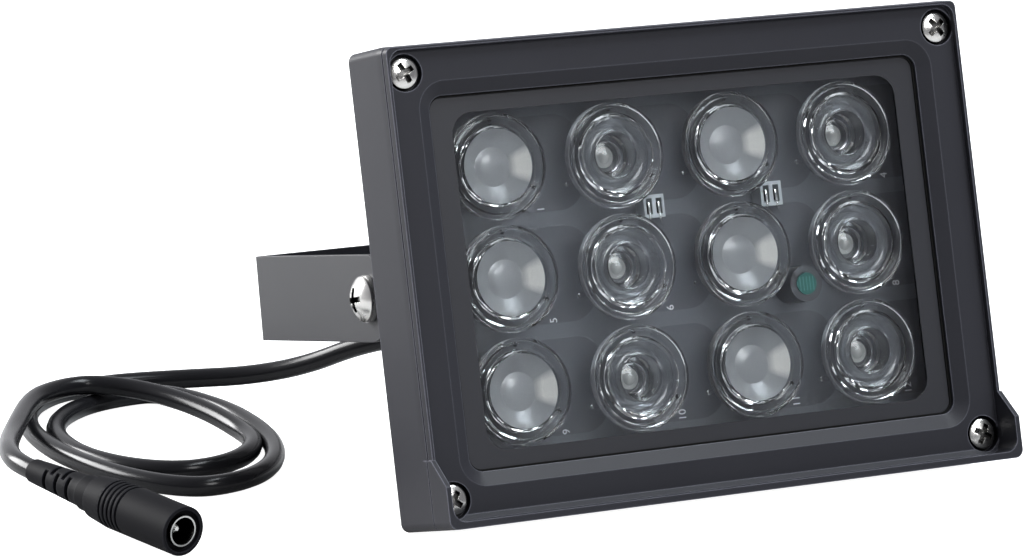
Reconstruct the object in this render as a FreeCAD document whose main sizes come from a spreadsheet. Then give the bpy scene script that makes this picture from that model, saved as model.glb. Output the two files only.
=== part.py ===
import FreeCAD, Part
import math
import os
import re
import Sketcher
from FreeCAD import Placement, Rotation, Vector

# An infrared illuminator for a security camera: a die-cast front frame with a hood lip along
# its bottom, a window over twelve lensed emitters on one board, a finned rear housing, a U
# bracket that swivels on two side screws, and a lead with an in-line socket on its end.
# It stands as a loose unit does, leaned back on the rear edge of the front frame and the rear
# edge of the finned housing, with the bracket out behind and the lead coiled on the left.

os.makedirs("parts", exist_ok=True)
doc = FreeCAD.newDocument("illuminator")

# Driving sizes in millimetres and degrees. Heights and sides of the housing are measured from
# the middle of the window, depths from the front rim.
SIZES = (
    # front frame: overall size, side wall and outer corners
    ("case_wide", 146.0),
    ("case_high", 106.2),
    ("case_deep", 18.7),
    ("case_corner", 2.0),
    ("case_wall", 2.4),
    ("hollow_corner", 2.0),
    # soft front edge of the side walls
    ("edge_run", 4.4),
    ("edge_inset", 0.5),
    # fine groove round the soft edge, where frame and face meet
    ("seam_back", 1.7),
    ("seam_open", 0.35),
    ("seam_deep", 0.7),
    # raised rim and the face set back inside it
    ("rim_wide", 1.2),
    ("rim_deep", 1.6),
    ("rim_corner", 3.0),
    ("plate_thick", 3.0),
    # hood lip along the bottom and the ear at each end of it
    ("lip_reach", 6.3),
    ("lip_thick", 1.6),
    ("lip_root", 1.25),
    ("ear_drop", 37.6),
    ("ear_slope", 6.0),
    # bevelled window opening
    ("window_wide", 124.1),
    ("window_high", 82.8),
    ("window_corner", 3.3),
    ("bevel_run", 3.2),
    ("bevel_deep", 1.8),
    # cover screws, one in each corner of the face
    ("screw_side_gap", 5.2),
    ("screw_end_gap", 6.2),
    ("screw_head", 6.8),
    ("screw_head_edge", 1.5),
    ("screw_head_rise", 0.7),
    ("screw_cross_wide", 1.3),
    ("screw_cross_long", 4.7),
    ("screw_cross_deep", 1.4),
    ("screw_shank", 3.0),
    ("screw_hole", 3.4),
    ("screw_end_gap_deep", 0.3),
    ("screw_thread_gap", 0.05),
    ("screw_seat", 8.3),
    ("screw_seat_deep", 1.9),
    ("post_wide", 8.4),
    ("post_back", 15.9),
    # printed border and window glass
    ("glass_side_gap", 4.6),
    ("glass_end_gap", 5.7),
    ("glass_corner", 6.0),
    ("glass_thick", 3.0),
    ("border_thick", 0.4),
    ("clear_wide", 113.0),
    ("clear_high", 74.6),
    ("clear_corner", 5.0),
    # rear housing: flange, body and fins
    ("seal_thick", 0.6),
    ("flange_gap", 0.3),
    ("flange_thick", 3.5),
    ("rear_wide", 116.0),
    ("rear_high", 91.1),
    ("rear_corner", 6.0),
    ("rear_back", 48.0),
    ("fin_deep", 14.0),
    ("fin_thick", 2.2),
    ("groove_count", 18.0),
    # emitter board and its heat pad
    ("board_side_gap", 7.6),
    ("board_end_gap", 8.7),
    ("board_corner", 2.0),
    ("board_thick", 1.0),
    ("pad_thick", 0.5),
    ("board_gap", 0.3),
    ("board_front", 17.3),
    # lens grid
    ("pitch_across", 29.7),
    ("pitch_up", 25.0),
    ("lens_round", 23.8),
    ("lens_rim", 0.6),
    ("lens_tall", 8.3),
    ("lens_step", 1.4),
    ("lens_flange", 1.2),
    ("lens_foot", 9.4),
    ("lens_peg", 1.8),
    ("lens_peg_out", 10.4),
    ("lens_disc", 18.0),
    ("lens_disc_rise", 0.9),
    ("lens_bowl", 8.8),
    ("lens_bowl_deep", 2.7),
    ("lens_bowl_rise", 0.9),
    ("lens_bore", 10.0),
    ("lens_bore_deep", 3.6),
    ("lens_well", 7.0),
    ("lens_well_deep", 3.0),
    ("emitter_round", 5.2),
    ("emitter_thick", 1.2),
    ("emitter_dome", 3.2),
    ("emitter_dome_rise", 1.1),
    # daylight sensor and the two board sockets
    ("sensor_side", 29.8),
    ("sensor_up", -8.2),
    ("sensor_round", 5.0),
    ("sensor_collar", 8.2),
    ("sensor_tall", 8.0),
    ("sensor_gap", 0.05),
    ("sensor_proud", 0.3),
    ("socket_one_side", -4.8),
    ("socket_one_up", 12.9),
    ("socket_one_size", 5.2),
    ("socket_two_side", 25.5),
    ("socket_two_up", 13.1),
    ("socket_two_size", 5.5),
    ("socket_tall", 4.3),
    ("socket_slot", 1.5),
    ("socket_rib", 1.0),
    ("socket_slot_short", 1.6),
    ("socket_slot_deep", 3.0),
    # swivel: bosses on the housing, screws and lock washers
    ("pivot_back", 30.6),
    ("pivot_up", -0.7),
    ("boss_round", 17.0),
    ("pivot_shank", 5.0),
    ("pivot_thread_gap", 0.05),
    ("pivot_hole_gap", 0.075),
    ("pivot_side_gap", 0.05),
    ("pivot_head", 10.25),
    ("pivot_head_edge", 0.8),
    ("pivot_head_rise", 2.2),
    ("pivot_thread_long", 10.0),
    ("washer_round", 10.6),
    ("washer_thick", 0.95),
    ("pivot_cross_wide", 1.3),
    ("pivot_cross_long", 5.4),
    ("pivot_cross_deep", 1.8),
    # U bracket
    ("strap_inside", 134.0),
    ("strap_thick", 2.0),
    ("strap_wide", 19.6),
    ("strap_reach", 62.0),
    ("strap_bend", 2.5),
    ("strap_tip", 3.6),
    ("mount_hole", 6.5),
    ("mount_slot_wide", 5.2),
    ("mount_slot_long", 16.0),
    ("mount_slot_side", 38.0),
    # cable gland on the back of the housing
    ("gland_up", -16.0),
    ("gland_pad", 26.0),
    ("gland_stub", 12.0),
    ("gland_stub_long", 11.0),
    ("gland_gap", 0.05),
    ("gland_flats", 16.0),
    ("gland_flange", 5.5),
    ("gland_neck_long", 8.0),
    ("nut_flats", 15.0),
    ("nut_long", 12.0),
    ("nut_flats_long", 6.0),
    ("nut_round", 7.0),
    ("nut_mouth", 7.4),
    ("nut_wall", 1.6),
    # lead and its in-line socket
    ("lead_round", 4.7),
    ("coil_long", 58.0),
    ("coil_short", 38.0),
    ("coil_long_in", 28.0),
    ("coil_short_in", 13.0),
    ("coil_tall", 9.4),
    ("coil_round", 3.8),
    ("coil_turned", 7.0),
    ("ground_gap", 0.05),
    ("plug_start", 2.75),
    ("plug_boot_end", 4.1),
    ("plug_boot_waist", 3.7),
    ("plug_collar_from", 19.2),
    ("plug_collar_step", 0.8),
    ("plug_boot_long", 24.0),
    ("plug_shell_start", 4.9),
    ("plug_barrel", 5.55),
    ("plug_shell_long", 29.8),
    ("plug_grip_from", 6.4),
    ("plug_grip_pitch", 1.5),
    ("plug_grip_wide", 0.7),
    ("plug_grip_deep", 0.4),
    ("plug_slot_wide", 1.3),
    ("plug_slot_pitch", 4.4),
    ("plug_slot_from", 2.2),
    ("plug_face_rim", 4.7),
    ("plug_face_deep", 1.2),
    ("plug_core", 1.9),
    ("plug_bore", 3.45),
    ("plug_bore_deep", 11.0),
    ("plug_contact_wall", 0.35),
    ("plug_pin", 0.95),
    ("plug_pin_short", 2.2),
    ("tail_straight", 15.0),
    ("lead_straight", 7.0),
    ("plug_yaw", 14.2),
    ("plug_pitch", 3.6),
)

# Sizes that follow from the driving ones. Each is worked out by the sheet itself.
FITS = (
    ("half_wide", "case_wide / 2"),
    ("half_high", "case_high / 2"),
    ("lean", "atan((case_high - rear_high) / 2 / (rear_back - case_deep))"),
    ("case_y", "half_high * sin(lean) - case_deep * cos(lean) - origin_y"),
    ("case_z", "half_high * cos(lean) + case_deep * sin(lean)"),
    ("swing", "lean - strap_tip * 1 deg"),
    ("pivot_y", "case_y + pivot_back * cos(lean) + pivot_up * sin(lean)"),
    ("pivot_z", "case_z - pivot_back * sin(lean) + pivot_up * cos(lean)"),
    ("reach_front", "(case_deep + lip_reach) * cos(lean)"),
    ("reach_pivot", "(half_high + pivot_up) * sin(lean) + (pivot_back - case_deep) * cos(lean)"),
    ("reach_back", "reach_pivot + strap_reach * cos(swing) + strap_wide / 2 * sin(swing)"),
    ("origin_y", "(reach_back - reach_front) / 2"),
    ("edge_wide", "case_wide - 2 * edge_inset"),
    ("edge_high", "case_high - 2 * edge_inset"),
    ("edge_corner", "case_corner - edge_inset"),
    ("recess_wide", "case_wide - 2 * rim_wide"),
    ("recess_top", "half_high - rim_wide"),
    ("recess_foot", "half_high - lip_thick"),
    ("recess_high", "recess_top + recess_foot"),
    ("recess_up", "(recess_top - recess_foot) / 2"),
    ("plate_back", "rim_deep + plate_thick"),
    ("bevel_back", "rim_deep + bevel_deep"),
    ("bevel_wide", "window_wide + 2 * bevel_run"),
    ("bevel_high", "window_high + 2 * bevel_run"),
    ("bevel_corner", "window_corner + bevel_run"),
    ("hollow_wide", "case_wide - 2 * case_wall"),
    ("hollow_high", "case_high - 2 * case_wall"),
    ("flange_corner", "hollow_corner - flange_gap"),
    ("screw_side", "half_wide - screw_side_gap"),
    ("screw_up", "half_high - screw_end_gap"),
    ("seat_back", "rim_deep + screw_seat_deep"),
    ("glass_wide", "hollow_wide - 2 * glass_side_gap"),
    ("glass_high", "hollow_high - 2 * glass_end_gap"),
    ("glass_front", "plate_back + border_thick"),
    ("flange_front", "post_back + seal_thick"),
    ("flange_back", "flange_front + flange_thick"),
    ("flange_wide", "hollow_wide - 2 * flange_gap"),
    ("flange_high", "hollow_high - 2 * flange_gap"),
    ("board_wide", "hollow_wide - 2 * board_side_gap"),
    ("board_high", "hollow_high - 2 * board_end_gap"),
    ("well_wide", "board_wide + 2 * board_gap"),
    ("well_high", "board_high + 2 * board_gap"),
    ("well_back", "board_front + board_thick + pad_thick"),
    ("groove_pitch", "(rear_wide - fin_thick) / groove_count"),
    ("groove_wide", "groove_pitch - fin_thick"),
    ("groove_first", "groove_pitch / 2 - rear_wide / 2 + fin_thick / 2"),
    ("lens_inside", "lens_round / 2 - lens_rim"),
    ("lens_under", "lens_tall - lens_step - lens_flange"),
    ("lens_face", "lens_tall - lens_step + lens_disc_rise"),
    ("lens_dome", "((lens_bowl / 2) ^ 2 + lens_bowl_rise ^ 2) / (2 * lens_bowl_rise)"),
    ("seam_wide", "case_wide - 2 * seam_deep"),
    ("seam_high", "case_high - 2 * seam_deep"),
    ("seam_corner", "case_corner - seam_deep"),
    ("boss_face", "strap_inside / 2 - pivot_side_gap"),
    ("head_face", "strap_inside / 2 + strap_thick + pivot_side_gap + washer_thick"),
    ("strap_half", "strap_inside / 2 + strap_thick"),
    ("strap_outside", "2 * strap_half"),
    ("strap_long", "strap_reach + strap_wide / 2"),
    ("strap_up", "strap_reach - strap_long / 2"),
    ("screw_head_top", "screw_head_edge + screw_head_rise"),
    ("screw_dome", "((screw_head / 2) ^ 2 + screw_head_rise ^ 2) / (2 * screw_head_rise)"),
    ("pivot_head_top", "pivot_head_edge + pivot_head_rise"),
    ("pivot_dome", "((pivot_head / 2) ^ 2 + pivot_head_rise ^ 2) / (2 * pivot_head_rise)"),
    ("emitter_bulge", "((emitter_dome / 2) ^ 2 + emitter_dome_rise ^ 2) / (2 * emitter_dome_rise)"),
    ("pivot_screw_long", "head_face - boss_face + pivot_thread_long"),
    ("screw_long", "flange_back - seat_back - screw_end_gap_deep"),
    ("strap_bend_in", "strap_bend - strap_thick"),
    ("plug_long", "plug_boot_long + plug_shell_long"),
)

SHEET_OF = {name: "sizes" for name, number in SIZES}
SHEET_OF.update({name: "fits" for name, formula in FITS})


def bind(formula):
    """Name the sheet of every size in a formula, so that an object can be bound to it."""
    def named(word):
        name = word.group()
        return "%s.%s" % (SHEET_OF[name], name) if name in SHEET_OF else name

    return re.sub(r"[a-z]\w*", named, formula)


sizes = doc.addObject("Spreadsheet::Sheet", "sizes")
for row, (name, number) in enumerate(SIZES, 1):
    sizes.set("A%d" % row, name)
    sizes.set("B%d" % row, str(number))
    sizes.setAlias("B%d" % row, name)
fits = doc.addObject("Spreadsheet::Sheet", "fits")
for row, (name, formula) in enumerate(FITS, 1):
    fits.setAlias("B%d" % row, name)
for row, (name, formula) in enumerate(FITS, 1):
    fits.set("A%d" % row, name)
    fits.set("B%d" % row, "=" + bind(formula).replace("fits.", ""))
doc.recompute()


def size(name):
    """The number in a named cell."""
    cell = getattr(sizes if SHEET_OF[name] == "sizes" else fits, name)
    return float(getattr(cell, "Value", cell))


def value(formula):
    """What a formula comes to now, so that a sketch starts near its final form."""
    answer = sizes.evalExpression(bind(formula))
    return float(getattr(answer, "Value", answer))


print("lean %.2f, origin %.3f" % (size("lean"), size("origin_y")))

# Where the housing, the bracket and the in-line socket stand
CASE = "placement(vector(0; case_y; case_z); rotation(vector(1; 0; 0); -lean))"
FORWARD = "placement(vector(%s; %s; %s); rotation(vector(1; 0; 0); 90))"
SPUN = " * placement(vector(0; 0; 0); rotation(vector(0; 0; 1); %s))"
SWIVEL = "placement(vector(0; pivot_y; pivot_z); rotation(vector(1; 0; 0); -swing))"

PIECES = {}


def keep(piece, name, place):
    """Name a finished piece and set it where it belongs."""
    piece.Label = name
    if place:
        piece.setExpression("Placement", bind(place))
    PIECES[name] = piece
    return piece


def sketch_on(body, name, plane, depth="0"):
    """A sketch on one of the body's own planes, moved along the plane's normal by a formula."""
    sketch = body.newObject("Sketcher::SketchObject", name)
    datum = next(each for each in body.Origin.OriginFeatures if each.Role == plane)
    sketch.AttachmentSupport = [(datum, "")]
    sketch.MapMode = "FlatFace"
    if depth != "0":
        sketch.setExpression("AttachmentOffset.Base.z", bind(depth))
    return sketch


def face_on(body, name, back="0"):
    """A sketch across the facing direction, set back by a formula. Its y runs up."""
    return sketch_on(body, name, "XZ_Plane", "0" if back == "0" else "-(%s)" % back)


def hold(sketch, kind, formula, *where):
    """Add a size to a sketch and tie it to its formula."""
    number = sketch.addConstraint(Sketcher.Constraint(kind, *where, value(formula)))
    sketch.setExpression("Constraints[%d]" % number, bind(formula))


def locate(sketch, line, end, across, up):
    """Hold one point of a sketch at a place given by two formulas."""
    for kind, axis, formula in (("DistanceX", -2, across), ("DistanceY", -1, up)):
        if formula == "0":
            sketch.addConstraint(Sketcher.Constraint("PointOnObject", line, end, axis))
        else:
            hold(sketch, kind, formula, -1, 1, line, end)


def bulge(start, stop, bend):
    """The arc of that radius that runs counter-clockwise from start to stop."""
    chord = stop - start
    left = Vector(-chord.y, chord.x, 0)
    left.normalize()
    centre = (start + stop) / 2 + left * math.sqrt(max(bend ** 2 - chord.Length ** 2 / 4, 0))
    from_angle = math.atan2(start.y - centre.y, start.x - centre.x)
    to_angle = math.atan2(stop.y - centre.y, stop.x - centre.x)
    if to_angle < from_angle:
        to_angle += 2 * math.pi
    return Part.ArcOfCircle(Part.Circle(centre, Vector(0, 0, 1), bend), from_angle, to_angle)


def outline(sketch, corners):
    """A closed outline whose corners are held by two formulas each. A third formula makes the
    side that follows the corner an arc of that radius."""
    count = len(corners)
    spots = [Vector(value(corner[0]), value(corner[1]), 0) for corner in corners]
    first = sketch.GeometryCount
    for k, corner in enumerate(corners):
        start, stop = spots[k], spots[(k + 1) % count]
        side = bulge(start, stop, value(corner[2])) if len(corner) > 2 else Part.LineSegment(start, stop)
        sketch.addGeometry(side, False)
    for k in range(count):
        following = first + (k + 1) % count
        sketch.addConstraint(Sketcher.Constraint("Coincident", first + k, 2, following, 1))
    for k, corner in enumerate(corners):
        locate(sketch, first + k, 1, corner[0], corner[1])
        if len(corner) > 2:
            hold(sketch, "Radius", corner[2], first + k)
    return sketch


def rounded(sketch, wide, high, corner, across="0", up="0"):
    """A rectangle with round corners about a centre. The three sizes are names in the sheets."""
    half_across = size(wide) / 2
    half_up = size(high) / 2
    bend = size(corner)
    first = sketch.GeometryCount
    ends = ((-1, -1), (1, -1), (1, 1), (-1, 1))
    middle_place = Vector(value(across), value(up), 0)
    for k, (side, rise) in enumerate(ends):
        centre = middle_place + Vector(side * (half_across - bend), rise * (half_up - bend), 0)
        circle = Part.Circle(centre, Vector(0, 0, 1), bend)
        sketch.addGeometry(Part.ArcOfCircle(circle, math.pi * (1 + k / 2), math.pi * (1.5 + k / 2)), False)
    for k, (side, rise) in enumerate(ends):
        follow_side, follow_rise = ends[(k + 1) % 4]
        start = Vector(side * (half_across - bend), rise * half_up, 0)
        stop = Vector(follow_side * (half_across - bend), follow_rise * half_up, 0)
        if side == follow_side:
            start = Vector(side * half_across, rise * (half_up - bend), 0)
            stop = Vector(side * half_across, follow_rise * (half_up - bend), 0)
        sketch.addGeometry(Part.LineSegment(middle_place + start, middle_place + stop), False)
    for k in range(4):
        sketch.addConstraint(Sketcher.Constraint("Tangent", first + k, 2, first + 4 + k, 1))
        sketch.addConstraint(Sketcher.Constraint("Tangent", first + 4 + k, 2, first + (k + 1) % 4, 1))
        sketch.addConstraint(Sketcher.Constraint("Vertical" if k % 2 else "Horizontal", first + 4 + k))
    for k in (1, 2, 3):
        sketch.addConstraint(Sketcher.Constraint("Equal", first, first + k))
    hold(sketch, "Radius", corner, first)
    hold(sketch, "DistanceX", wide, first + 7, 1, first + 5, 1)
    hold(sketch, "DistanceY", high, first + 4, 1, first + 6, 1)
    middle = sketch.addGeometry(Part.Point(middle_place), True)
    sketch.addConstraint(Sketcher.Constraint("Symmetric", first, 3, first + 2, 3, middle, 1))
    locate(sketch, middle, 1, across, up)
    return sketch


def slot(sketch, long, wide, across="0"):
    """A slot with round ends that lies along the first axis."""
    end = value(wide) / 2
    reach = value(long) / 2 - end
    middle = value(across)
    sides = ((-1, 0.5), (1, -0.5))
    for side, from_turn in sides:
        circle = Part.Circle(Vector(middle + side * reach, 0, 0), Vector(0, 0, 1), end)
        sketch.addGeometry(Part.ArcOfCircle(circle, math.pi * from_turn, math.pi * (from_turn + 1)), False)
    for side, from_turn in sides:
        sketch.addGeometry(Part.LineSegment(Vector(middle + side * reach, side * end, 0),
                                            Vector(middle - side * reach, side * end, 0)), False)
    left, right, under, over = range(4)
    for before, after in ((left, under), (under, right), (right, over), (over, left)):
        sketch.addConstraint(Sketcher.Constraint("Tangent", before, 2, after, 1))
    sketch.addConstraint(Sketcher.Constraint("Horizontal", under))
    hold(sketch, "Radius", wide + " / 2", left)
    locate(sketch, left, 3, "%s - (%s - %s) / 2" % (across, long, wide), "0")
    hold(sketch, "DistanceX", "%s - %s" % (long, wide), left, 3, right, 3)
    return sketch


def circles(sketch, wide, places):
    """Circles of one diameter at the given places."""
    for across, up in places:
        circle = Part.Circle(Vector(value(across), value(up), 0), Vector(0, 0, 1), value(wide) / 2)
        number = sketch.addGeometry(circle, False)
        hold(sketch, "Diameter", wide, number)
        locate(sketch, number, 3, across, up)
    return sketch


def corners_of(side, up):
    """The same place in all four quarters."""
    return [(across_sign + side, up_sign + up) for across_sign in ("", "-") for up_sign in ("", "-")]


def grow(body, sketch, name, length, flip=False, middle=False):
    """Pad a sketch by a formula."""
    pad = body.newObject("PartDesign::Pad", name)
    pad.Profile = sketch
    pad.Reversed = flip
    pad.Midplane = middle
    pad.setExpression("Length", bind(length))
    return pad


def cut(body, sketch, name, depth=None, flip=False, middle=False):
    """Pocket a sketch by a formula, or right through."""
    pocket = body.newObject("PartDesign::Pocket", name)
    pocket.Profile = sketch
    pocket.Reversed = flip
    pocket.Midplane = middle
    if depth:
        pocket.setExpression("Length", bind(depth))
    else:
        pocket.Type = 1
    return pocket


def loft(body, kind, name, first, second):
    """Join two outlines by ruled faces."""
    feature = body.newObject("PartDesign::" + kind, name)
    feature.Profile = first
    feature.Sections = [second]
    feature.Ruled = True
    return feature


def turn(body, profile, name="turned"):
    """Turn a half section about the body's own upright axis."""
    feature = body.newObject("PartDesign::Revolution", name)
    feature.Profile = profile
    feature.ReferenceAxis = (profile, ["V_Axis"])
    feature.Angle = 360
    return feature


def body_of(name, place):
    return keep(doc.addObject("PartDesign::Body", name + "_body"), name, place)


def turned(name, corners, place):
    """A turned piece from the corners of its half section, radius and height."""
    body = body_of(name, place)
    turn(body, outline(sketch_on(body, "section", "XZ_Plane"), corners))
    return body


def plate(name, wide, high, corner, back, thick, place=CASE):
    """A flat piece with round corners that lies across the housing."""
    body = body_of(name, place)
    grow(body, rounded(face_on(body, "outline", back), wide, high, corner), "sheet", thick, flip=True)
    return body


# Front frame: one casting with side walls, rim, face, window opening, hood lip and ears
frame = body_of("front_frame", CASE)
ear_block = rounded(face_on(frame, "ear_outline", "edge_run"), "case_wide", "case_high", "case_corner")
grow(frame, ear_block, "ear_block", "edge_run + lip_reach")
above_ears = outline(sketch_on(frame, "above_ears", "YZ_Plane"), [
    ("edge_run", "-ear_drop"), ("0", "-ear_drop"), ("-lip_reach", "-ear_drop - ear_slope"),
    ("-2 * lip_reach", "-ear_drop - ear_slope"), ("-2 * lip_reach", "case_high"),
    ("edge_run", "case_high")])
cut(frame, above_ears, "ear_shape", middle=True)
grow(frame, rounded(face_on(frame, "wall_outline", "edge_run"), "case_wide", "case_high", "case_corner"),
     "walls", "case_deep - edge_run", flip=True)
loft(frame, "AdditiveLoft", "soft_edge",
     rounded(face_on(frame, "edge_back", "edge_run"), "case_wide", "case_high", "case_corner"),
     rounded(face_on(frame, "edge_front"), "edge_wide", "edge_high", "edge_corner"))
seam = rounded(face_on(frame, "seam_outline", "seam_back"), "seam_wide", "seam_high", "seam_corner")
outline(seam, [("-case_wide", "-case_high"), ("case_wide", "-case_high"),
               ("case_wide", "case_high"), ("-case_wide", "case_high")])
cut(frame, seam, "seam", "seam_open")
recess = rounded(face_on(frame, "recess_outline", "-lip_reach"), "recess_wide", "recess_high", "rim_corner",
                 up="recess_up")
cut(frame, recess, "face_recess", "lip_reach + rim_deep")
root = outline(sketch_on(frame, "root_side", "YZ_Plane"), [
    ("rim_deep", "-recess_foot"), ("rim_deep", "lip_root - recess_foot"),
    ("rim_deep - lip_root", "-recess_foot")])
grow(frame, root, "lip_root", "recess_wide", middle=True)
hollow = rounded(face_on(frame, "hollow_outline", "case_deep"), "hollow_wide", "hollow_high", "hollow_corner")
cut(frame, hollow, "hollow", "case_deep - plate_back", flip=True)
loft(frame, "SubtractiveLoft", "window_bevel",
     rounded(face_on(frame, "bevel_front", "rim_deep"), "bevel_wide", "bevel_high", "bevel_corner"),
     rounded(face_on(frame, "bevel_end", "bevel_back"), "window_wide", "window_high", "window_corner"))
opening = rounded(face_on(frame, "window_outline", "bevel_back"), "window_wide", "window_high", "window_corner")
cut(frame, opening, "window", "plate_back - bevel_back")
SCREWS = corners_of("screw_side", "screw_up")
grow(frame, circles(face_on(frame, "post_rounds", "post_back"), "post_wide", SCREWS),
     "posts", "post_back - plate_back")
cut(frame, circles(face_on(frame, "seat_rounds"), "screw_seat", SCREWS), "seats", "seat_back")
cut(frame, circles(face_on(frame, "hole_rounds", "seat_back"), "screw_hole", SCREWS),
    "holes", "post_back - seat_back")

# Window: a printed black border on the back of the glass opening, then the glass
border = plate("window_mask", "glass_wide", "glass_high", "glass_corner", "plate_back", "border_thick")
cut(border, rounded(face_on(border, "clear", "plate_back"), "clear_wide", "clear_high", "clear_corner"),
    "clear_area", "border_thick")
plate("window_glass", "glass_wide", "glass_high", "glass_corner", "glass_front", "glass_thick")

# Rear housing: flange inside the front frame, body, upright fins, gland pad and pivot bosses
rear = body_of("rear_housing", CASE)
flange = rounded(face_on(rear, "flange_outline", "flange_front"), "flange_wide", "flange_high", "flange_corner")
grow(rear, flange, "flange", "flange_thick", flip=True)
grow(rear, rounded(face_on(rear, "body_outline", "flange_back"), "rear_wide", "rear_high", "rear_corner"),
     "box", "rear_back - flange_back", flip=True)
groove = outline(face_on(rear, "groove_outline", "rear_back"), [
    ("groove_first - groove_wide / 2", "-rear_high"), ("groove_first + groove_wide / 2", "-rear_high"),
    ("groove_first + groove_wide / 2", "rear_high"), ("groove_first - groove_wide / 2", "rear_high")])
first_groove = cut(rear, groove, "first_groove", "fin_deep", flip=True)
doc.recompute()
grooves = rear.newObject("PartDesign::LinearPattern", "grooves")
grooves.Originals = [first_groove]
grooves.Direction = (groove, ["H_Axis"])
grooves.setExpression("Length", bind("groove_pitch * (groove_count - 1)"))
grooves.setExpression("Occurrences", bind("groove_count"))
rear.Tip = grooves
doc.recompute()
pad_outline = outline(face_on(rear, "gland_pad_outline", "rear_back - fin_deep"), [
    ("-gland_pad / 2", "gland_up - gland_pad / 2"), ("gland_pad / 2", "gland_up - gland_pad / 2"),
    ("gland_pad / 2", "gland_up + gland_pad / 2"), ("-gland_pad / 2", "gland_up + gland_pad / 2")])
grow(rear, pad_outline, "gland_seat", "fin_deep", flip=True)
PIVOT = [("pivot_back", "pivot_up")]
for side, flip in (("", False), ("-", True)):
    from_side = sketch_on(rear, "boss_round", "YZ_Plane", side + "(rear_wide / 2 - fin_thick)")
    grow(rear, circles(from_side, "boss_round", PIVOT), "boss", "boss_face - rear_wide / 2 + fin_thick", flip=flip)
for side, flip in (("", False), ("-", True)):
    bore = circles(sketch_on(rear, "pivot_bore", "YZ_Plane", side + "boss_face"),
                   "pivot_shank + 2 * pivot_thread_gap", PIVOT)
    cut(rear, bore, "pivot_hole", "pivot_thread_long + pivot_side_gap", flip=flip)
cut(rear, rounded(face_on(rear, "well_outline", "flange_front"), "well_wide", "well_high", "board_corner"),
    "board_well", "well_back - flange_front")
threads = circles(face_on(rear, "thread_rounds", "flange_front"), "screw_shank + 2 * screw_thread_gap", SCREWS)
cut(rear, threads, "thread_holes", "flange_thick")
gland_hole = circles(face_on(rear, "gland_round", "rear_back"), "gland_stub + 2 * gland_gap", [("0", "gland_up")])
cut(rear, gland_hole, "gland_hole", "gland_stub_long + gland_gap", flip=True)

# Seal between the posts of the front frame and the flange
seal = plate("body_seal", "flange_wide", "flange_high", "flange_corner", "post_back", "seal_thick")
cut(seal, rounded(face_on(seal, "seal_inside", "post_back"), "well_wide", "well_high", "board_corner"),
    "inside", "seal_thick")
seal_holes = circles(face_on(seal, "seal_holes", "post_back"), "screw_hole", SCREWS)
cut(seal, seal_holes, "screw_holes", "seal_thick")

# Emitter board on its heat pad, at the bottom of the housing's front recess
plate("led_board", "board_wide", "board_high", "board_corner", "board_front", "board_thick")
plate("thermal_pad", "board_wide", "board_high", "board_corner", "board_front + board_thick", "pad_thick")

# Twelve emitters, each under its lens: frosted ones in the first and third columns, clear
# ones with a bore in front in the second and fourth
LENS_CONE = [
    ("lens_well / 2", "0"), ("lens_foot / 2", "0"), ("lens_disc / 2", "lens_under"),
    ("lens_round / 2", "lens_under"), ("lens_round / 2", "lens_tall"), ("lens_inside", "lens_tall"),
    ("lens_inside", "lens_tall - lens_step"), ("lens_disc / 2", "lens_tall - lens_step"),
    ("lens_disc / 2 - lens_disc_rise", "lens_face")]
LENS_WELL = [("0", "lens_well_deep"), ("lens_well / 2", "lens_well_deep")]
FROSTED = LENS_CONE + [
    ("lens_bowl / 2", "lens_face - lens_bowl_deep", "lens_dome"),
    ("0", "lens_face - lens_bowl_deep + lens_bowl_rise")] + LENS_WELL
CLEAR = LENS_CONE + [
    ("lens_bore / 2", "lens_face"), ("lens_bore / 2", "lens_face - lens_bore_deep"),
    ("0", "lens_face - lens_bore_deep")] + LENS_WELL
PEGS = [("0", "lens_peg_out"), ("-lens_peg_out * cos(30)", "-lens_peg_out / 2"),
        ("lens_peg_out * cos(30)", "-lens_peg_out / 2")]
ROWS, COLUMNS = 3, 4
for row in range(ROWS):
    for column in range(COLUMNS):
        place = CASE + " * " + FORWARD % ("pitch_across * %.1f" % (column - (COLUMNS - 1) / 2),
                                          "board_front", "pitch_up * %d" % ((ROWS - 1) / 2 - row))
        spot = "r%dc%d" % (row + 1, column + 1)
        lens = turned("lens_" + spot, CLEAR if column % 2 else FROSTED, place)
        pegs = circles(sketch_on(lens, "peg_rounds", "XY_Plane"), "lens_peg", PEGS)
        grow(lens, pegs, "pegs", "lens_under")
        turned("emitter_" + spot, [
            ("0", "0"), ("emitter_round / 2", "0"), ("emitter_round / 2", "emitter_thick"),
            ("emitter_dome / 2", "emitter_thick", "emitter_bulge"),
            ("0", "emitter_thick + emitter_dome_rise")], place)

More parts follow.
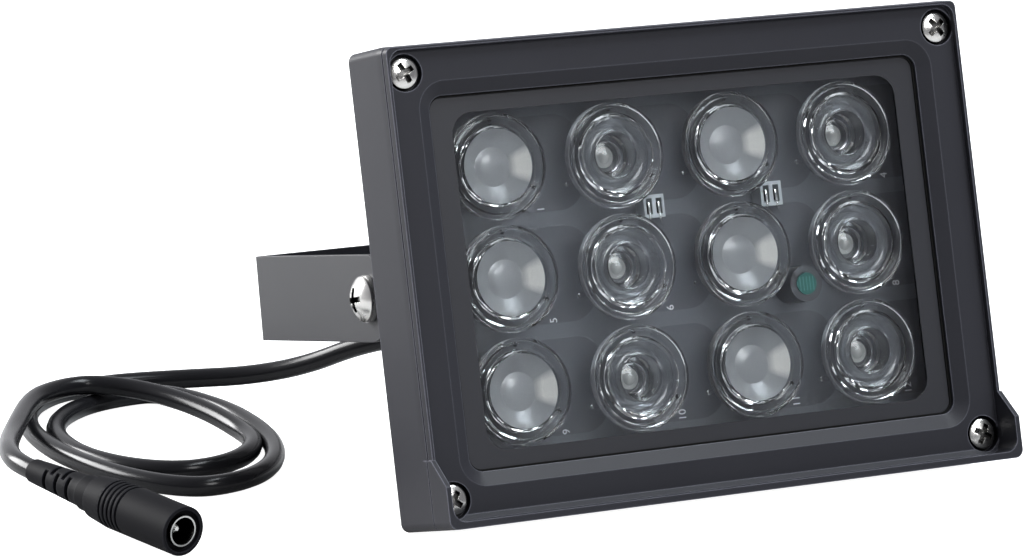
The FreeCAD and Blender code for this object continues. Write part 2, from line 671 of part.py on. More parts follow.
# Daylight sensor in its collar, and two small board sockets
place = CASE + " * " + FORWARD % ("sensor_side", "board_front", "sensor_up")
turned("photocell", [
    ("0", "0"), ("sensor_round / 2", "0"), ("sensor_round / 2", "sensor_tall + sensor_proud"),
    ("0", "sensor_tall + sensor_proud")], place)
turned("photocell_collar", [
    ("sensor_round / 2 + sensor_gap", "0"), ("sensor_collar / 2", "0"), ("sensor_collar / 2", "sensor_tall"),
    ("sensor_round / 2 + sensor_gap", "sensor_tall")], place)
for name in ("socket_one", "socket_two"):
    socket = body_of(name, CASE + " * " + FORWARD % (name + "_side", "board_front", name + "_up"))
    half = name + "_size / 2"
    box = outline(sketch_on(socket, "box", "XY_Plane"), [
        ("-" + half, "-" + half), (half, "-" + half), (half, half), ("-" + half, half)])
    grow(socket, box, "block", "socket_tall")
    for side in ("", "-"):
        near = side + "socket_rib / 2"
        far = side + "(socket_rib / 2 + socket_slot)"
        top = "(%s - socket_slot_short / 2)" % half
        opening = outline(sketch_on(socket, "slot", "XY_Plane", "socket_tall"), [
            (near, "-" + top), (far, "-" + top), (far, top), (near, top)])
        cut(socket, opening, "opening", "socket_slot_deep")


def cross(body, kind):
    """A cross recess in the top of a screw head."""
    arm = kind + "_cross_wide / 2"
    end = kind + "_cross_long / 2"
    quarter = ((arm, end), (arm, arm), (end, arm))
    points = list(quarter)
    points += [(x, "-" + y) for x, y in reversed(quarter)]
    points += [("-" + x, "-" + y) for x, y in quarter]
    points += [("-" + x, y) for x, y in reversed(quarter)]
    sketch = outline(sketch_on(body, "cross", "XY_Plane", kind + "_head_top"), points)
    cut(body, sketch, "recess", kind + "_cross_deep")


# Cover screws through the posts into the flange, each stopped at its own turn
SCREW_TURNS = (40, 62, 28, 55)
for number, (side, up) in enumerate(SCREWS, 1):
    screw = turned("screw_%d" % number, [
        ("0", "-screw_long"), ("screw_shank / 2", "-screw_long"), ("screw_shank / 2", "0"),
        ("screw_head / 2", "0"), ("screw_head / 2", "screw_head_edge", "screw_dome"),
        ("0", "screw_head_top")],
        CASE + " * " + FORWARD % (side, "seat_back", up) + SPUN % SCREW_TURNS[number - 1])
    cross(screw, "screw")

# Pivot screws and their lock washers
for side, sign in (("left", "-"), ("right", "")):
    outward = "placement(vector(%shead_face; pivot_back; pivot_up); rotation(vector(0; 1; 0); %s90))"
    place = CASE + " * " + outward % (sign, sign)
    screw = turned("pivot_screw_" + side, [
        ("0", "-pivot_screw_long"), ("pivot_shank / 2", "-pivot_screw_long"), ("pivot_shank / 2", "0"),
        ("pivot_head / 2", "0"), ("pivot_head / 2", "pivot_head_edge", "pivot_dome"),
        ("0", "pivot_head_top")], place)
    cross(screw, "pivot")
    turned("lock_washer_" + side, [
        ("pivot_shank / 2 + pivot_hole_gap", "-washer_thick"), ("washer_round / 2", "-washer_thick"),
        ("washer_round / 2", "0"), ("pivot_shank / 2 + pivot_hole_gap", "0")], place)

# U bracket: a bent strap with round ends, pivot holes, a centre hole and two slots in its base
bracket = body_of("bracket", SWIVEL)
MIDDLE = [("0", "0")]
strap = rounded(sketch_on(bracket, "strap_outline", "XY_Plane"), "strap_outside", "strap_long", "strap_bend",
                up="strap_up")
grow(bracket, strap, "strap", "strap_wide", middle=True)
between = rounded(sketch_on(bracket, "strap_inner", "XY_Plane"), "strap_inside", "strap_long", "strap_bend_in",
                  up="strap_up - strap_thick")
cut(bracket, between, "between_arms", middle=True)
ahead = outline(sketch_on(bracket, "ahead_of_pivot", "YZ_Plane"), [
    ("0", "-strap_wide"), ("0", "strap_wide"),
    ("-2 * strap_wide", "strap_wide"), ("-2 * strap_wide", "-strap_wide")])
cut(bracket, ahead, "arm_ends", middle=True)
for side, flip in (("", False), ("-", True)):
    end = circles(sketch_on(bracket, "round_end", "YZ_Plane", side + "strap_inside / 2"), "strap_wide", MIDDLE)
    grow(bracket, end, "round_end", "strap_thick", flip=flip)
pivots = circles(sketch_on(bracket, "pivot_rounds", "YZ_Plane"), "pivot_shank + 2 * pivot_hole_gap", MIDDLE)
cut(bracket, pivots, "pivot_holes", middle=True)
cut(bracket, circles(sketch_on(bracket, "mount_round", "XZ_Plane"), "mount_hole", MIDDLE), "mount_centre")
for side in ("", "-"):
    long_hole = slot(sketch_on(bracket, "mount_slot", "XZ_Plane"), "mount_slot_long", "mount_slot_wide",
                     across=side + "mount_slot_side")
    cut(bracket, long_hole, "mount_side")

# Cable gland: a threaded body with a hexagon, a domed nut on it and the rubber bush in its mouth
BACKWARD = CASE + " * placement(vector(0; rear_back; gland_up); rotation(vector(1; 0; 0); -90))"


def hexagon(sketch, flats):
    tip = flats + " / 2 / cos(30)"
    return outline(sketch, [(tip, "0"), (tip + " / 2", flats + " / 2"), ("-" + tip + " / 2", flats + " / 2"),
                            ("-" + tip, "0"), ("-" + tip + " / 2", "-" + flats + " / 2"),
                            (tip + " / 2", "-" + flats + " / 2")])


gland = body_of("cable_gland", BACKWARD)
grow(gland, hexagon(sketch_on(gland, "hexagon", "XY_Plane"), "gland_flats"), "hexagon_flange", "gland_flange")
stub = circles(sketch_on(gland, "stub_round", "XY_Plane"), "gland_stub", MIDDLE)
grow(gland, stub, "stub", "gland_stub_long", flip=True)
neck = circles(sketch_on(gland, "neck_round", "XY_Plane", "gland_flange"), "nut_flats - 2 * nut_wall", MIDDLE)
grow(gland, neck, "neck", "gland_neck_long")
NUT = BACKWARD + " * placement(vector(0; 0; gland_flange); rotation(vector(0; 0; 1); 14))"
nut = body_of("gland_nut", NUT)
grow(nut, hexagon(sketch_on(nut, "hexagon", "XY_Plane"), "nut_flats"), "flats", "nut_flats_long")
turn(nut, outline(sketch_on(nut, "dome", "XZ_Plane"), [
    ("0", "nut_flats_long"), ("nut_flats / 2", "nut_flats_long", "nut_round"),
    ("nut_mouth / 2 + nut_wall / 2", "nut_long"), ("0", "nut_long")]), "dome_end")
thread = circles(sketch_on(nut, "neck_bore", "XY_Plane"), "nut_flats - 2 * nut_wall + 2 * gland_gap", MIDDLE)
cut(nut, thread, "thread", "gland_neck_long", flip=True)
cut(nut, circles(sketch_on(nut, "mouth_bore", "XY_Plane"), "nut_mouth", MIDDLE), "mouth", flip=True)
turned("gland_bush", [
    ("0", "gland_flange + gland_neck_long"), ("nut_mouth / 2 - gland_gap", "gland_flange + gland_neck_long"),
    ("nut_mouth / 2 - gland_gap", "gland_flange + nut_long"), ("0", "gland_flange + nut_long")], BACKWARD)

# Lead and its in-line socket. The socket lies on the ground with its mouth towards the viewer.
# The lead leaves the gland under the bracket, comes round behind on the left, makes two and a
# half loose turns and ends in the socket. Its points are chosen by eye and lie on the ground
# from the third bend on.
PLUG_AT = Vector(-136.8, 24.64, 9.0)
COIL_AT = Vector(-93, 71, 0)
PLUG = ("placement(vector(%.2f; %.2f; %.2f); rotation(vector(0; 0; 1); plug_yaw) * rotation(vector(1; 0; 0); "
        "90 + plug_pitch))" % tuple(PLUG_AT))
boot = turned("plug_boot", [
    ("0", "0"), ("plug_start", "0"), ("plug_boot_waist", "plug_collar_from"),
    ("plug_boot_end", "plug_collar_from + plug_collar_step"), ("plug_boot_end", "plug_boot_long"),
    ("0", "plug_boot_long")], PLUG)
for plane, steps in (("XZ_Plane", ("1", "2", "3")), ("YZ_Plane", ("1.5", "2.5"))):
    for step in steps:
        low = "plug_slot_from + plug_slot_pitch * " + step
        high = low + " + plug_slot_wide"
        for side in ("", "-"):
            near, far = side + "plug_core", side + "2 * plug_boot_end"
            corners = [(near, low), (far, low), (far, high), (near, high)]
            cut(boot, outline(sketch_on(boot, "slot", plane), corners), "flex_slot", middle=True)
shell = turned("plug_shell", [
    ("0", "plug_boot_long"), ("plug_shell_start", "plug_boot_long"),
    ("plug_barrel", "plug_boot_long + plug_grip_from"), ("plug_barrel", "plug_long"),
    ("plug_face_rim", "plug_long"), ("plug_face_rim", "plug_long - plug_face_deep"),
    ("0", "plug_long - plug_face_deep")], PLUG)
GRIP_RINGS = 5
for k in range(GRIP_RINGS):
    low = "plug_boot_long + plug_grip_from + plug_grip_pitch * %d" % k
    ring = outline(sketch_on(shell, "grip_ring", "XZ_Plane"), [
        ("plug_barrel - plug_grip_deep", low), ("2 * plug_barrel", low),
        ("2 * plug_barrel", low + " + plug_grip_wide"),
        ("plug_barrel - plug_grip_deep", low + " + plug_grip_wide")])
    groove = shell.newObject("PartDesign::Groove", "grip_groove")
    groove.Profile = ring
    groove.ReferenceAxis = (ring, ["V_Axis"])
    groove.Angle = 360
mouth = circles(sketch_on(shell, "mouth", "XY_Plane", "plug_long"), "2 * plug_bore", MIDDLE)
cut(shell, mouth, "socket_bore", "plug_bore_deep")
turned("plug_contact", [
    ("plug_bore - plug_contact_wall", "plug_long - plug_bore_deep"),
    ("plug_bore", "plug_long - plug_bore_deep"), ("plug_bore", "plug_long"),
    ("plug_bore - plug_contact_wall", "plug_long")], PLUG)
turned("plug_pin", [
    ("0", "plug_long - plug_bore_deep"), ("plug_pin", "plug_long - plug_bore_deep"),
    ("plug_pin", "plug_long - plug_pin_short - plug_pin / 2"), ("plug_pin / 2", "plug_long - plug_pin_short"),
    ("0", "plug_long - plug_pin_short")], PLUG)
doc.recompute()

EXIT = PIECES["gland_bush"].Placement.multVec(Vector(0, 0, size("gland_flange") + size("nut_long")))
AHEAD = PIECES["gland_bush"].Placement.Rotation.multVec(Vector(0, 0, 1))
TAIL = [EXIT, EXIT + AHEAD * size("tail_straight"),
        Vector(-9, 55.5, 19.0), Vector(-20, 70.5, 19.2), Vector(-28.5, 84, 14.8), Vector(-36, 97, 8.0),
        Vector(-45.5, 109.5, 3.8), Vector(-59, 118, 2.7), Vector(-74.3, 121.6, 2.6)]
BOOT = PIECES["plug_boot"].Placement
LEAD = [Vector(-127.5, 66.0, 6.6), Vector(-133.2, 54.0, 7.9), Vector(-137.4, 42.5, 9.2),
        BOOT.multVec(Vector(0, 0, -size("lead_straight"))), PLUG_AT]


def cord(name, route):
    """A plain tube of straight runs joined by arcs as large as the runs allow."""
    share = 0.45
    edges = []
    start = route[0]
    bends = []
    for before, corner, after in zip(route, route[1:], route[2:]):
        into = corner - before
        onward = after - corner
        turning = into.getAngle(onward)
        reach = share * min(into.Length, onward.Length)
        bend = reach / math.tan(turning / 2)
        into.normalize()
        onward.normalize()
        arc_start = corner - into * reach
        arc_end = corner + onward * reach
        inward = onward - into
        inward.normalize()
        middle = corner + inward * (bend / math.cos(turning / 2) - bend)
        edges.append(Part.LineSegment(start, arc_start).toShape())
        edges.append(Part.Arc(arc_start, middle, arc_end).toShape())
        start = arc_end
        bends.append(bend)
    edges.append(Part.LineSegment(start, route[-1]).toShape())
    spine = Part.Wire(edges)
    section = Part.Wire(Part.makeCircle(size("lead_round") / 2, route[0], route[1] - route[0]))
    tube = spine.makePipeShell([section], True, True)
    piece = doc.addObject("Part::Feature", name)
    piece.Shape = tube
    expected = math.pi * size("lead_round") ** 2 / 4 * spine.Length
    print("%s: length %.1f, volume %.1f of %.1f, bends %s" % (
        name, spine.Length, tube.Volume, expected, " ".join("%.0f" % bend for bend in bends)))
    return keep(piece, name, None)


cord("cord_tail", TAIL)
cord("cord_lead", LEAD)

# The loose turns take up one flat oval ring, two leads deep
ovals = []
for long_half, short_half in (("coil_long", "coil_short"), ("coil_long_in", "coil_short_in")):
    oval = Part.Wire(Part.Ellipse(Vector(0, 0, 0), size(long_half), size(short_half)).toShape())
    ovals.append(Part.Face(oval).extrude(Vector(0, 0, size("coil_tall"))))
outside, inside = ovals
outside = outside.makeFillet(size("coil_round"), [edge for edge in outside.Edges if edge.isClosed()])
ring = outside.cut(inside)
coil = doc.addObject("Part::Feature", "coil")
coil.Shape = ring
coil.Placement = Placement(COIL_AT + Vector(0, 0, size("ground_gap")),
                           Rotation(Vector(0, 0, 1), 90 - size("coil_turned")))
keep(coil, "cord_coil", None)

doc.recompute()
for each in doc.Objects:
    if "Invalid" in each.State or "Error" in each.State:
        raise RuntimeError("%s is not built" % each.Label)
for name, piece in PIECES.items():
    shape = piece.Shape
    if shape.isNull() or not shape.isValid() or len(shape.Solids) != 1:
        raise RuntimeError("%s has no sound solid" % name)
for name, piece in PIECES.items():
    piece.Shape.exportStep(os.path.join("parts", name + ".step"))
print("%d pieces" % len(PIECES))
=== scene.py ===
import math

import bpy
from bpy.props import FloatProperty, FloatVectorProperty, PointerProperty
from mathutils import Matrix, Vector


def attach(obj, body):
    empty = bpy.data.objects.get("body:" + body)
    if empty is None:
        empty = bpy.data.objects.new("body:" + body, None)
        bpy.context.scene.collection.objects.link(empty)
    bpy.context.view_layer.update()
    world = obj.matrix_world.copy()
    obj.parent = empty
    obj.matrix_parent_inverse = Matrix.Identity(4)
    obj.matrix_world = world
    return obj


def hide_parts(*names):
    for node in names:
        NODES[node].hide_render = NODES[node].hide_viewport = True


bl_info = {
    "name": "Infrared illuminator",
    "version": (1, 0, 0),
    "blender": (4, 5, 0),
    "location": "View3D > Sidebar > Illuminator",
    "description": "Castings, window, lenses, board, bracket, screws, gland, lead and studio",
    "category": "Object",
}

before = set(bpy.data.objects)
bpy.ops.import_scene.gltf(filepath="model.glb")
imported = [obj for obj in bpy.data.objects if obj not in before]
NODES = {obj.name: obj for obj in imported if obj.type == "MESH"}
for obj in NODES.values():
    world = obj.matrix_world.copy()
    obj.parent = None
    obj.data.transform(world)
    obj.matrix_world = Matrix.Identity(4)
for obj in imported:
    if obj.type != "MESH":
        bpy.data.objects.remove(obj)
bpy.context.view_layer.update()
MM = 0.001

# The housing leans back. Its own axes run across, back and up from the middle of the window.
LEAN = math.radians(14.4496)
WINDOW_BACK, WINDOW_UP = -36.4216, 56.0865
CASE = Matrix.Translation((0, WINDOW_BACK * MM, WINDOW_UP * MM)) @ Matrix.Rotation(-LEAN, 4, "X")
FRONTWARD = Matrix.Rotation(math.radians(90), 4, "X")
# Places and sizes in the housing's axes, in mm
BOARD_FRONT = 17.3
LENS_ACROSS, LENS_UP = 29.7, 25.0
ROWS, COLUMNS = 3, 4
OPENING_WIDE, OPENING_HIGH, OPENING_CORNER = 124.05, 82.75, 3.3
OPENING_BACK = 4.58
BEAD_WIDE, BEAD_HIGH = 0.45, 0.35
NUMBER_ACROSS, NUMBER_UP = 14.3, -10.8
NUMBER_HIGH, NUMBER_THICK = 2.6, 0.01
SENSOR_ACROSS, SENSOR_UP = 29.8, -8.2
SOCKETS = {"socket_one": (-4.8, 12.9), "socket_two": (25.5, 13.1)}
SOCKET_TALL = 4.3
PIN_SIZE, PIN_EDGE = (0.55, 2.6, 2.2), 0.12
PIN_APART, PIN_DEEP, PIN_LOW = 1.25, 1.0, -0.35
# A socket's two wires, point by point: across, apart, behind the socket's face, up, one above the other
WIRE_RUN = ((0, PIN_APART, 0.4, -1.2, 0), (0, 1.3, -0.25, -2.2, 0), (0, 1.35, 0.2, -3.1, 0),
            (1.7, 0.9, 2.2, -4.2, 0), (2.6, 1.2, 3.6, -5.4, 0.9))
WIRE_THICK = 0.42
# Strips of copper between the rounded fields of the board, and the sensor's winding track
STRIP_WIDE, STRIP_HIGH, FIELD_CORNER = 9.5, 3.4, 6.5
TRACK_PITCH, TRACK_WIDE, TRACK_HIGH = 0.42, 0.13, 1.6

# Radii of the softened edges, in mm
BRACKET_EDGE, SCREW_EDGE, PIVOT_SCREW_EDGE = 0.3, 0.08, 0.12
GLAND_EDGE, NUT_EDGE, BOOT_EDGE, BARREL_EDGE = 0.25, 0.3, 0.15, 0.12

# Colours that aren't settings
# Nearly black, as the bead is also a painted shadow line in the gap round the glass
BEAD_AND_SHADOW_BLACK = (0.004, 0.004, 0.004)
SEAL_BLACK = (0.012, 0.012, 0.013)
BUSH_BLACK = (0.012, 0.012, 0.012)
GLAND_BLACK = (0.018, 0.018, 0.019)
PAD_GREY = (0.16, 0.17, 0.19)
PACKAGE_WHITE = (0.86, 0.86, 0.84)
CELL_FACE = (0.018, 0.135, 0.12)
CELL_TRACK = (0.10, 0.30, 0.27)
COLLAR_SMOKE = (0.085, 0.09, 0.10)
SOCKET_NYLON = (0.56, 0.60, 0.63)
PIN_BRIGHT = (0.85, 0.86, 0.86)
SCREW_NICKEL = (0.64, 0.63, 0.61)
WASHER_STEEL = (0.62, 0.62, 0.62)
CONTACT_NICKEL = (0.5, 0.5, 0.49)
PIN_NICKEL = (0.7, 0.7, 0.68)

# The lead in millimetres: out of the gland and down behind the housing, as the solid lies
TAIL = ((0, 23.014, 24.249), (0, 37.54, 20.506), (-9, 55.5, 19.0), (-20, 70.5, 19.2), (-28.5, 84, 14.8),
        (-36, 97, 8.0), (-45.5, 109.5, 3.8), (-59, 118, 2.7), (-74.3, 121.6, 2.6))
# Then the loose turns, by the points that lie furthest back, left, forward and right in each
TURNS = ((-82.5, 121.3, 2.5), (-115.4, 66, 2.4), (-96, 17.6, 2.4), (-63.4, 76, 2.4), (-75, 109, 2.4),
         (-111.8, 64, 2.4), (-93, 33.5, 2.4), (-69.6, 62, 2.9), (-94, 106, 7.2))
STEPS_A_QUARTER = 5
# Then over the turns and into the boot of the in-line socket
TO_BOOT = ((-105.0, 100.5, 7.2), (-112, 91, 7.1), (-119, 78.5, 7.1), (-125.8, 66.0, 7.2), (-131.4, 54.0, 8.2),
           (-135.9, 42.5, 9.3), (-138.3, 31.4, 9.45), (-136.8, 24.64, 9.0))


def in_case(across, back, up, spin=0.0):
    """Where a piece that faces the viewer stands in the housing, its own height running forward."""
    place = Matrix.Translation((across * MM, back * MM, up * MM))
    return CASE @ place @ FRONTWARD @ Matrix.Rotation(math.radians(spin), 4, "Z")


def lens_middle(row, column):
    """How far across and up a lens stands, in mm from the middle of the window."""
    return LENS_ACROSS * (column - (COLUMNS - 1) / 2), LENS_UP * ((ROWS - 1) / 2 - row)


# Modelling steps that several pieces share

# Vertices this near are one, in metres, and a ring this small closes on the axis, in mm
DOUBLES = 1e-7
ON_AXIS = 0.02


def clear_selection():
    """Leave edit mode with nothing selected."""
    if bpy.context.mode != "OBJECT":
        bpy.ops.object.mode_set(mode="OBJECT")
    bpy.ops.object.select_all(action="DESELECT")


def pick(piece):
    """Select one piece alone and make it active."""
    clear_selection()
    piece.select_set(True)
    bpy.context.view_layer.objects.active = piece
    return piece


def start_editing():
    """Enter edit mode with the whole piece selected."""
    bpy.ops.object.mode_set(mode="EDIT")
    bpy.ops.mesh.select_mode(type="VERT")
    bpy.ops.mesh.select_all(action="SELECT")


def end_editing(smooth):
    """Leave edit mode with the normals outwards, the place in the mesh and round faces smooth."""
    bpy.ops.mesh.select_all(action="SELECT")
    bpy.ops.mesh.remove_doubles(threshold=DOUBLES)
    bpy.ops.mesh.normals_make_consistent(inside=False)
    bpy.ops.object.mode_set(mode="OBJECT")
    bpy.ops.object.transform_apply(location=True, rotation=True, scale=True)
    bpy.ops.object.shade_smooth_by_angle(angle=math.radians(smooth))
    return bpy.context.object


def turned(name, rings, sides, smooth=30.0):
    """A turned piece, extruded ring by ring from a disc. Rings are radius and height in mm."""
    clear_selection()
    radius, height = rings[0]
    bpy.ops.mesh.primitive_circle_add(vertices=sides, radius=radius * MM, location=(0, 0, height * MM),
                                      fill_type="NGON")
    bpy.context.object.name = name
    start_editing()
    for next_radius, next_height in rings[1:]:
        bpy.ops.mesh.extrude_region_move(
            TRANSFORM_OT_translate={"value": (0, 0, (next_height - height) * MM)})
        ratio = next_radius / radius
        bpy.ops.transform.resize(value=(ratio, ratio, 1), center_override=(0, 0, next_height * MM))
        radius, height = next_radius, next_height
    if radius < ON_AXIS:
        bpy.ops.mesh.merge(type="CENTER")
    return end_editing(smooth)


def arc(centre_radius, centre_height, bend, start, stop, steps):
    """Rings along a round edge, between two angles in degrees from straight out."""
    found = []
    for k in range(steps + 1):
        angle = math.radians(start + (stop - start) * k / steps)
        found.append((centre_radius + bend * math.cos(angle), centre_height + bend * math.sin(angle)))
    return found


def block(name, size, edge):
    """A small box with softened edges. Its size and the edges' radius are in mm."""
    clear_selection()
    bpy.ops.mesh.primitive_cube_add(size=1)
    piece = bpy.context.object
    piece.name = name
    piece.scale = [each * MM for each in size]
    bpy.ops.object.transform_apply(location=True, rotation=True, scale=True)
    start_editing()
    bpy.ops.mesh.bevel(offset=edge * MM, segments=2, affect="EDGES")
    end_editing(40)
    return piece


def joined(name, pieces):
    """Several pieces made one, with the first one's materials first."""
    clear_selection()
    for each in pieces:
        each.select_set(True)
    bpy.context.view_layer.objects.active = pieces[0]
    bpy.ops.object.join()
    pieces[0].name = name
    return pieces[0]


def drop(piece):
    """Throw away a pattern and its mesh."""
    mesh = piece.data
    bpy.data.objects.remove(piece)
    bpy.data.meshes.remove(mesh)


def copied(pattern, name, place):
    """A copy with its own mesh, set in its place."""
    twin = pattern.copy()
    twin.data = pattern.data.copy()
    twin.name = name
    twin.data.name = name
    bpy.context.scene.collection.objects.link(twin)
    twin.data.transform(place)
    return twin


def painted(piece, *materials):
    """The piece with these materials and no others."""
    piece.data.materials.clear()
    for material in materials:
        piece.data.materials.append(material)
    return piece


def strand(name, points, thick, along, around):
    """A round strand through a few points, with its steps along and around. Sizes are in metres."""
    line = bpy.data.curves.new(name, "CURVE")
    line.dimensions = "3D"
    line.resolution_u = along
    line.bevel_depth = thick / 2
    line.bevel_resolution = around
    line.use_fill_caps = True
    spline = line.splines.new("NURBS")
    spline.points.add(len(points) - 1)
    for knot, point in zip(spline.points, points):
        knot.co = (*point, 1)
    spline.order_u = 3
    spline.use_endpoint_u = True
    piece = bpy.data.objects.new(name, line)
    bpy.context.scene.collection.objects.link(piece)
    return piece


def settle(piece, nodes=()):
    """A finished piece rides on the housing and stands for its CAD nodes."""
    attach(piece, "housing")
    if nodes:
        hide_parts(*nodes)
    return piece


# At what angles a CAD node's edges are crisp, softened or flat, and how near its vertices are joined
SHARP, SHARP_WHEN_SOFTENED = math.radians(35), math.radians(50)
SOFTENED_FROM = math.radians(28)
FLAT_WITHIN = math.radians(0.5)
WELD_WITHIN = 1e-6


def dress(name, material, edge=0.0):
    """Give a CAD node its material, join its loose triangles and soften its edges, in mm."""
    piece = NODES[name]
    painted(piece, material)
    for polygon in piece.data.polygons:
        polygon.use_smooth = True
    weld = piece.modifiers.new("weld", "WELD")
    weld.merge_threshold = WELD_WITHIN
    if edge:
        flat = piece.modifiers.new("flat", "DECIMATE")
        flat.decimate_type = "DISSOLVE"
        flat.angle_limit = FLAT_WITHIN
        soft = piece.modifiers.new("soft", "BEVEL")
        soft.width = edge * MM
        soft.segments = 2
        soft.limit_method = "ANGLE"
        soft.angle_limit = SOFTENED_FROM
    split = piece.modifiers.new("crisp", "EDGE_SPLIT")
    split.split_angle = SHARP_WHEN_SOFTENED if edge else SHARP
    if edge:
        even = piece.modifiers.new("even", "WEIGHTED_NORMAL")
        even.mode = "FACE_AREA"
        even.weight = 80
    return piece


def case_point(tree):
    """A point of a piece in the housing's own axes, in mm from the middle of the window."""
    lean_back = CASE.inverted()
    place = node(tree, "TexCoord").outputs["Object"]
    turned_back = node(tree, "Mapping", {"Vector": place}, vector_type="POINT")
    turned_back.inputs["Location"].default_value = lean_back.to_translation() / MM
    turned_back.inputs["Rotation"].default_value = lean_back.to_euler()
    turned_back.inputs["Scale"].default_value = (1 / MM, 1 / MM, 1 / MM)
    return node(tree, "SeparateXYZ", {"Vector": turned_back.outputs["Vector"]}).outputs


# Shader node groups, each built once

BUMP_DEPTH = 0.1 * MM
# How much a painted shade darkens a recess, on a coat and on bright metal
SHADED_COAT, SHADED_METAL = -0.8, -0.96


def new_group(name, inputs, outputs):
    """An empty shader node group with its named sockets, and its two ends."""
    tree = bpy.data.node_groups.new(name, "ShaderNodeTree")
    for label, kind, value in inputs:
        socket = tree.interface.new_socket(label, in_out="INPUT", socket_type="NodeSocket" + kind)
        if value is not None:
            socket.default_value = value
    for label, kind in outputs:
        tree.interface.new_socket(label, in_out="OUTPUT", socket_type="NodeSocket" + kind)
    return tree, tree.nodes.new("NodeGroupInput"), tree.nodes.new("NodeGroupOutput")


def node(tree, kind, links=None, **values):
    """A shader node. Values name its settings or its sockets, links its inputs."""
    made = tree.nodes.new("ShaderNode" + kind)
    for label, value in values.items():
        if hasattr(made, label):
            setattr(made, label, value)
        else:
            made.inputs[label.replace("_", " ")].default_value = value
    for label, source in (links or {}).items():
        tree.links.new(source, made.inputs[label])
    return made


def math_node(tree, operation, first, second=None, third=None, clamp=False):
    """What a Math node puts out. Each term is a number or another node's socket."""
    made = tree.nodes.new("ShaderNodeMath")
    made.operation = operation
    made.use_clamp = clamp
    for k, each in enumerate((first, second, third)):
        if each is None:
            continue
        if isinstance(each, (int, float)):
            made.inputs[k].default_value = each
        else:
            tree.links.new(each, made.inputs[k])
    return made.outputs[0]


def scaled(tree, colour, lift):
    """A colour times a factor. The colour is a plain one or another node's."""
    made = node(tree, "VectorMath", {"Scale": lift}, operation="SCALE")
    if isinstance(colour, bpy.types.NodeSocket):
        tree.links.new(colour, made.inputs[0])
    else:
        made.inputs[0].default_value = colour
    return made.outputs["Vector"]


def coat_grain():
    """Sprayed coat: fine peel in the surface, with a slow drift in shade and gloss."""
    if "coat_grain" in bpy.data.node_groups:
        return bpy.data.node_groups["coat_grain"]
    tree, enter, leave = new_group("coat_grain", [
        ("Colour", "Color", (0.1, 0.1, 0.1, 1)), ("Roughness", "Float", 0.5),
        ("Grain Scale", "Float", 2600.0), ("Grain Depth", "Float", 0.12), ("Drift", "Float", 0.1)],
        [("Colour", "Color"), ("Roughness", "Float"), ("Normal", "Vector")])
    place = node(tree, "TexCoord").outputs["Object"]
    fine = node(tree, "TexNoise", {"Vector": place, "Scale": enter.outputs["Grain Scale"]},
                Detail=4.0, Roughness=0.65)
    broad = node(tree, "TexNoise", {"Vector": place}, Scale=38.0, Detail=3.0)
    bump = node(tree, "Bump", {"Strength": enter.outputs["Grain Depth"], "Height": fine.outputs["Fac"]},
                Distance=BUMP_DEPTH)
    tree.links.new(bump.outputs["Normal"], leave.inputs["Normal"])
    drift = math_node(tree, "MULTIPLY", math_node(tree, "SUBTRACT", broad.outputs["Fac"], 0.5),
                      enter.outputs["Drift"])
    speckled, darkest, drift_in_gloss = 0.16, 0.92, 0.6
    speckle = math_node(tree, "MULTIPLY_ADD", fine.outputs["Fac"], speckled, drift)
    lift = math_node(tree, "ADD", speckle, darkest)
    tree.links.new(scaled(tree, enter.outputs["Colour"], lift), leave.inputs["Colour"])
    gloss = math_node(tree, "MULTIPLY_ADD", drift, drift_in_gloss, enter.outputs["Roughness"], clamp=True)
    tree.links.new(gloss, leave.inputs["Roughness"])
    return tree


def turned_marks():
    """Bright metal: fine turning or rolling marks in its gloss and surface."""
    if "turned_marks" in bpy.data.node_groups:
        return bpy.data.node_groups["turned_marks"]
    tree, enter, leave = new_group("turned_marks", [
        ("Roughness", "Float", 0.25), ("Mark Scale", "Float", 900.0), ("Mark Depth", "Float", 0.1)],
        [("Roughness", "Float"), ("Normal", "Vector"), ("Shade", "Float")])
    place = node(tree, "TexCoord").outputs["Object"]
    fine = node(tree, "TexNoise", {"Vector": place, "Scale": enter.outputs["Mark Scale"]},
                Detail=5.0, Roughness=0.7)
    spots = node(tree, "TexNoise", {"Vector": place}, Scale=260.0, Detail=3.0)
    bump = node(tree, "Bump", {"Strength": enter.outputs["Mark Depth"], "Height": fine.outputs["Fac"]},
                Distance=BUMP_DEPTH)
    tree.links.new(bump.outputs["Normal"], leave.inputs["Normal"])
    matt_spots, matt_middle, pale_spots, darkest = 0.25, 0.12, 0.3, 0.85
    gloss = math_node(tree, "MULTIPLY_ADD", spots.outputs["Fac"], matt_spots, enter.outputs["Roughness"])
    tree.links.new(math_node(tree, "SUBTRACT", gloss, matt_middle, clamp=True), leave.inputs["Roughness"])
    shade = math_node(tree, "MULTIPLY_ADD", spots.outputs["Fac"], pale_spots, darkest)
    tree.links.new(shade, leave.inputs["Shade"])
    return tree


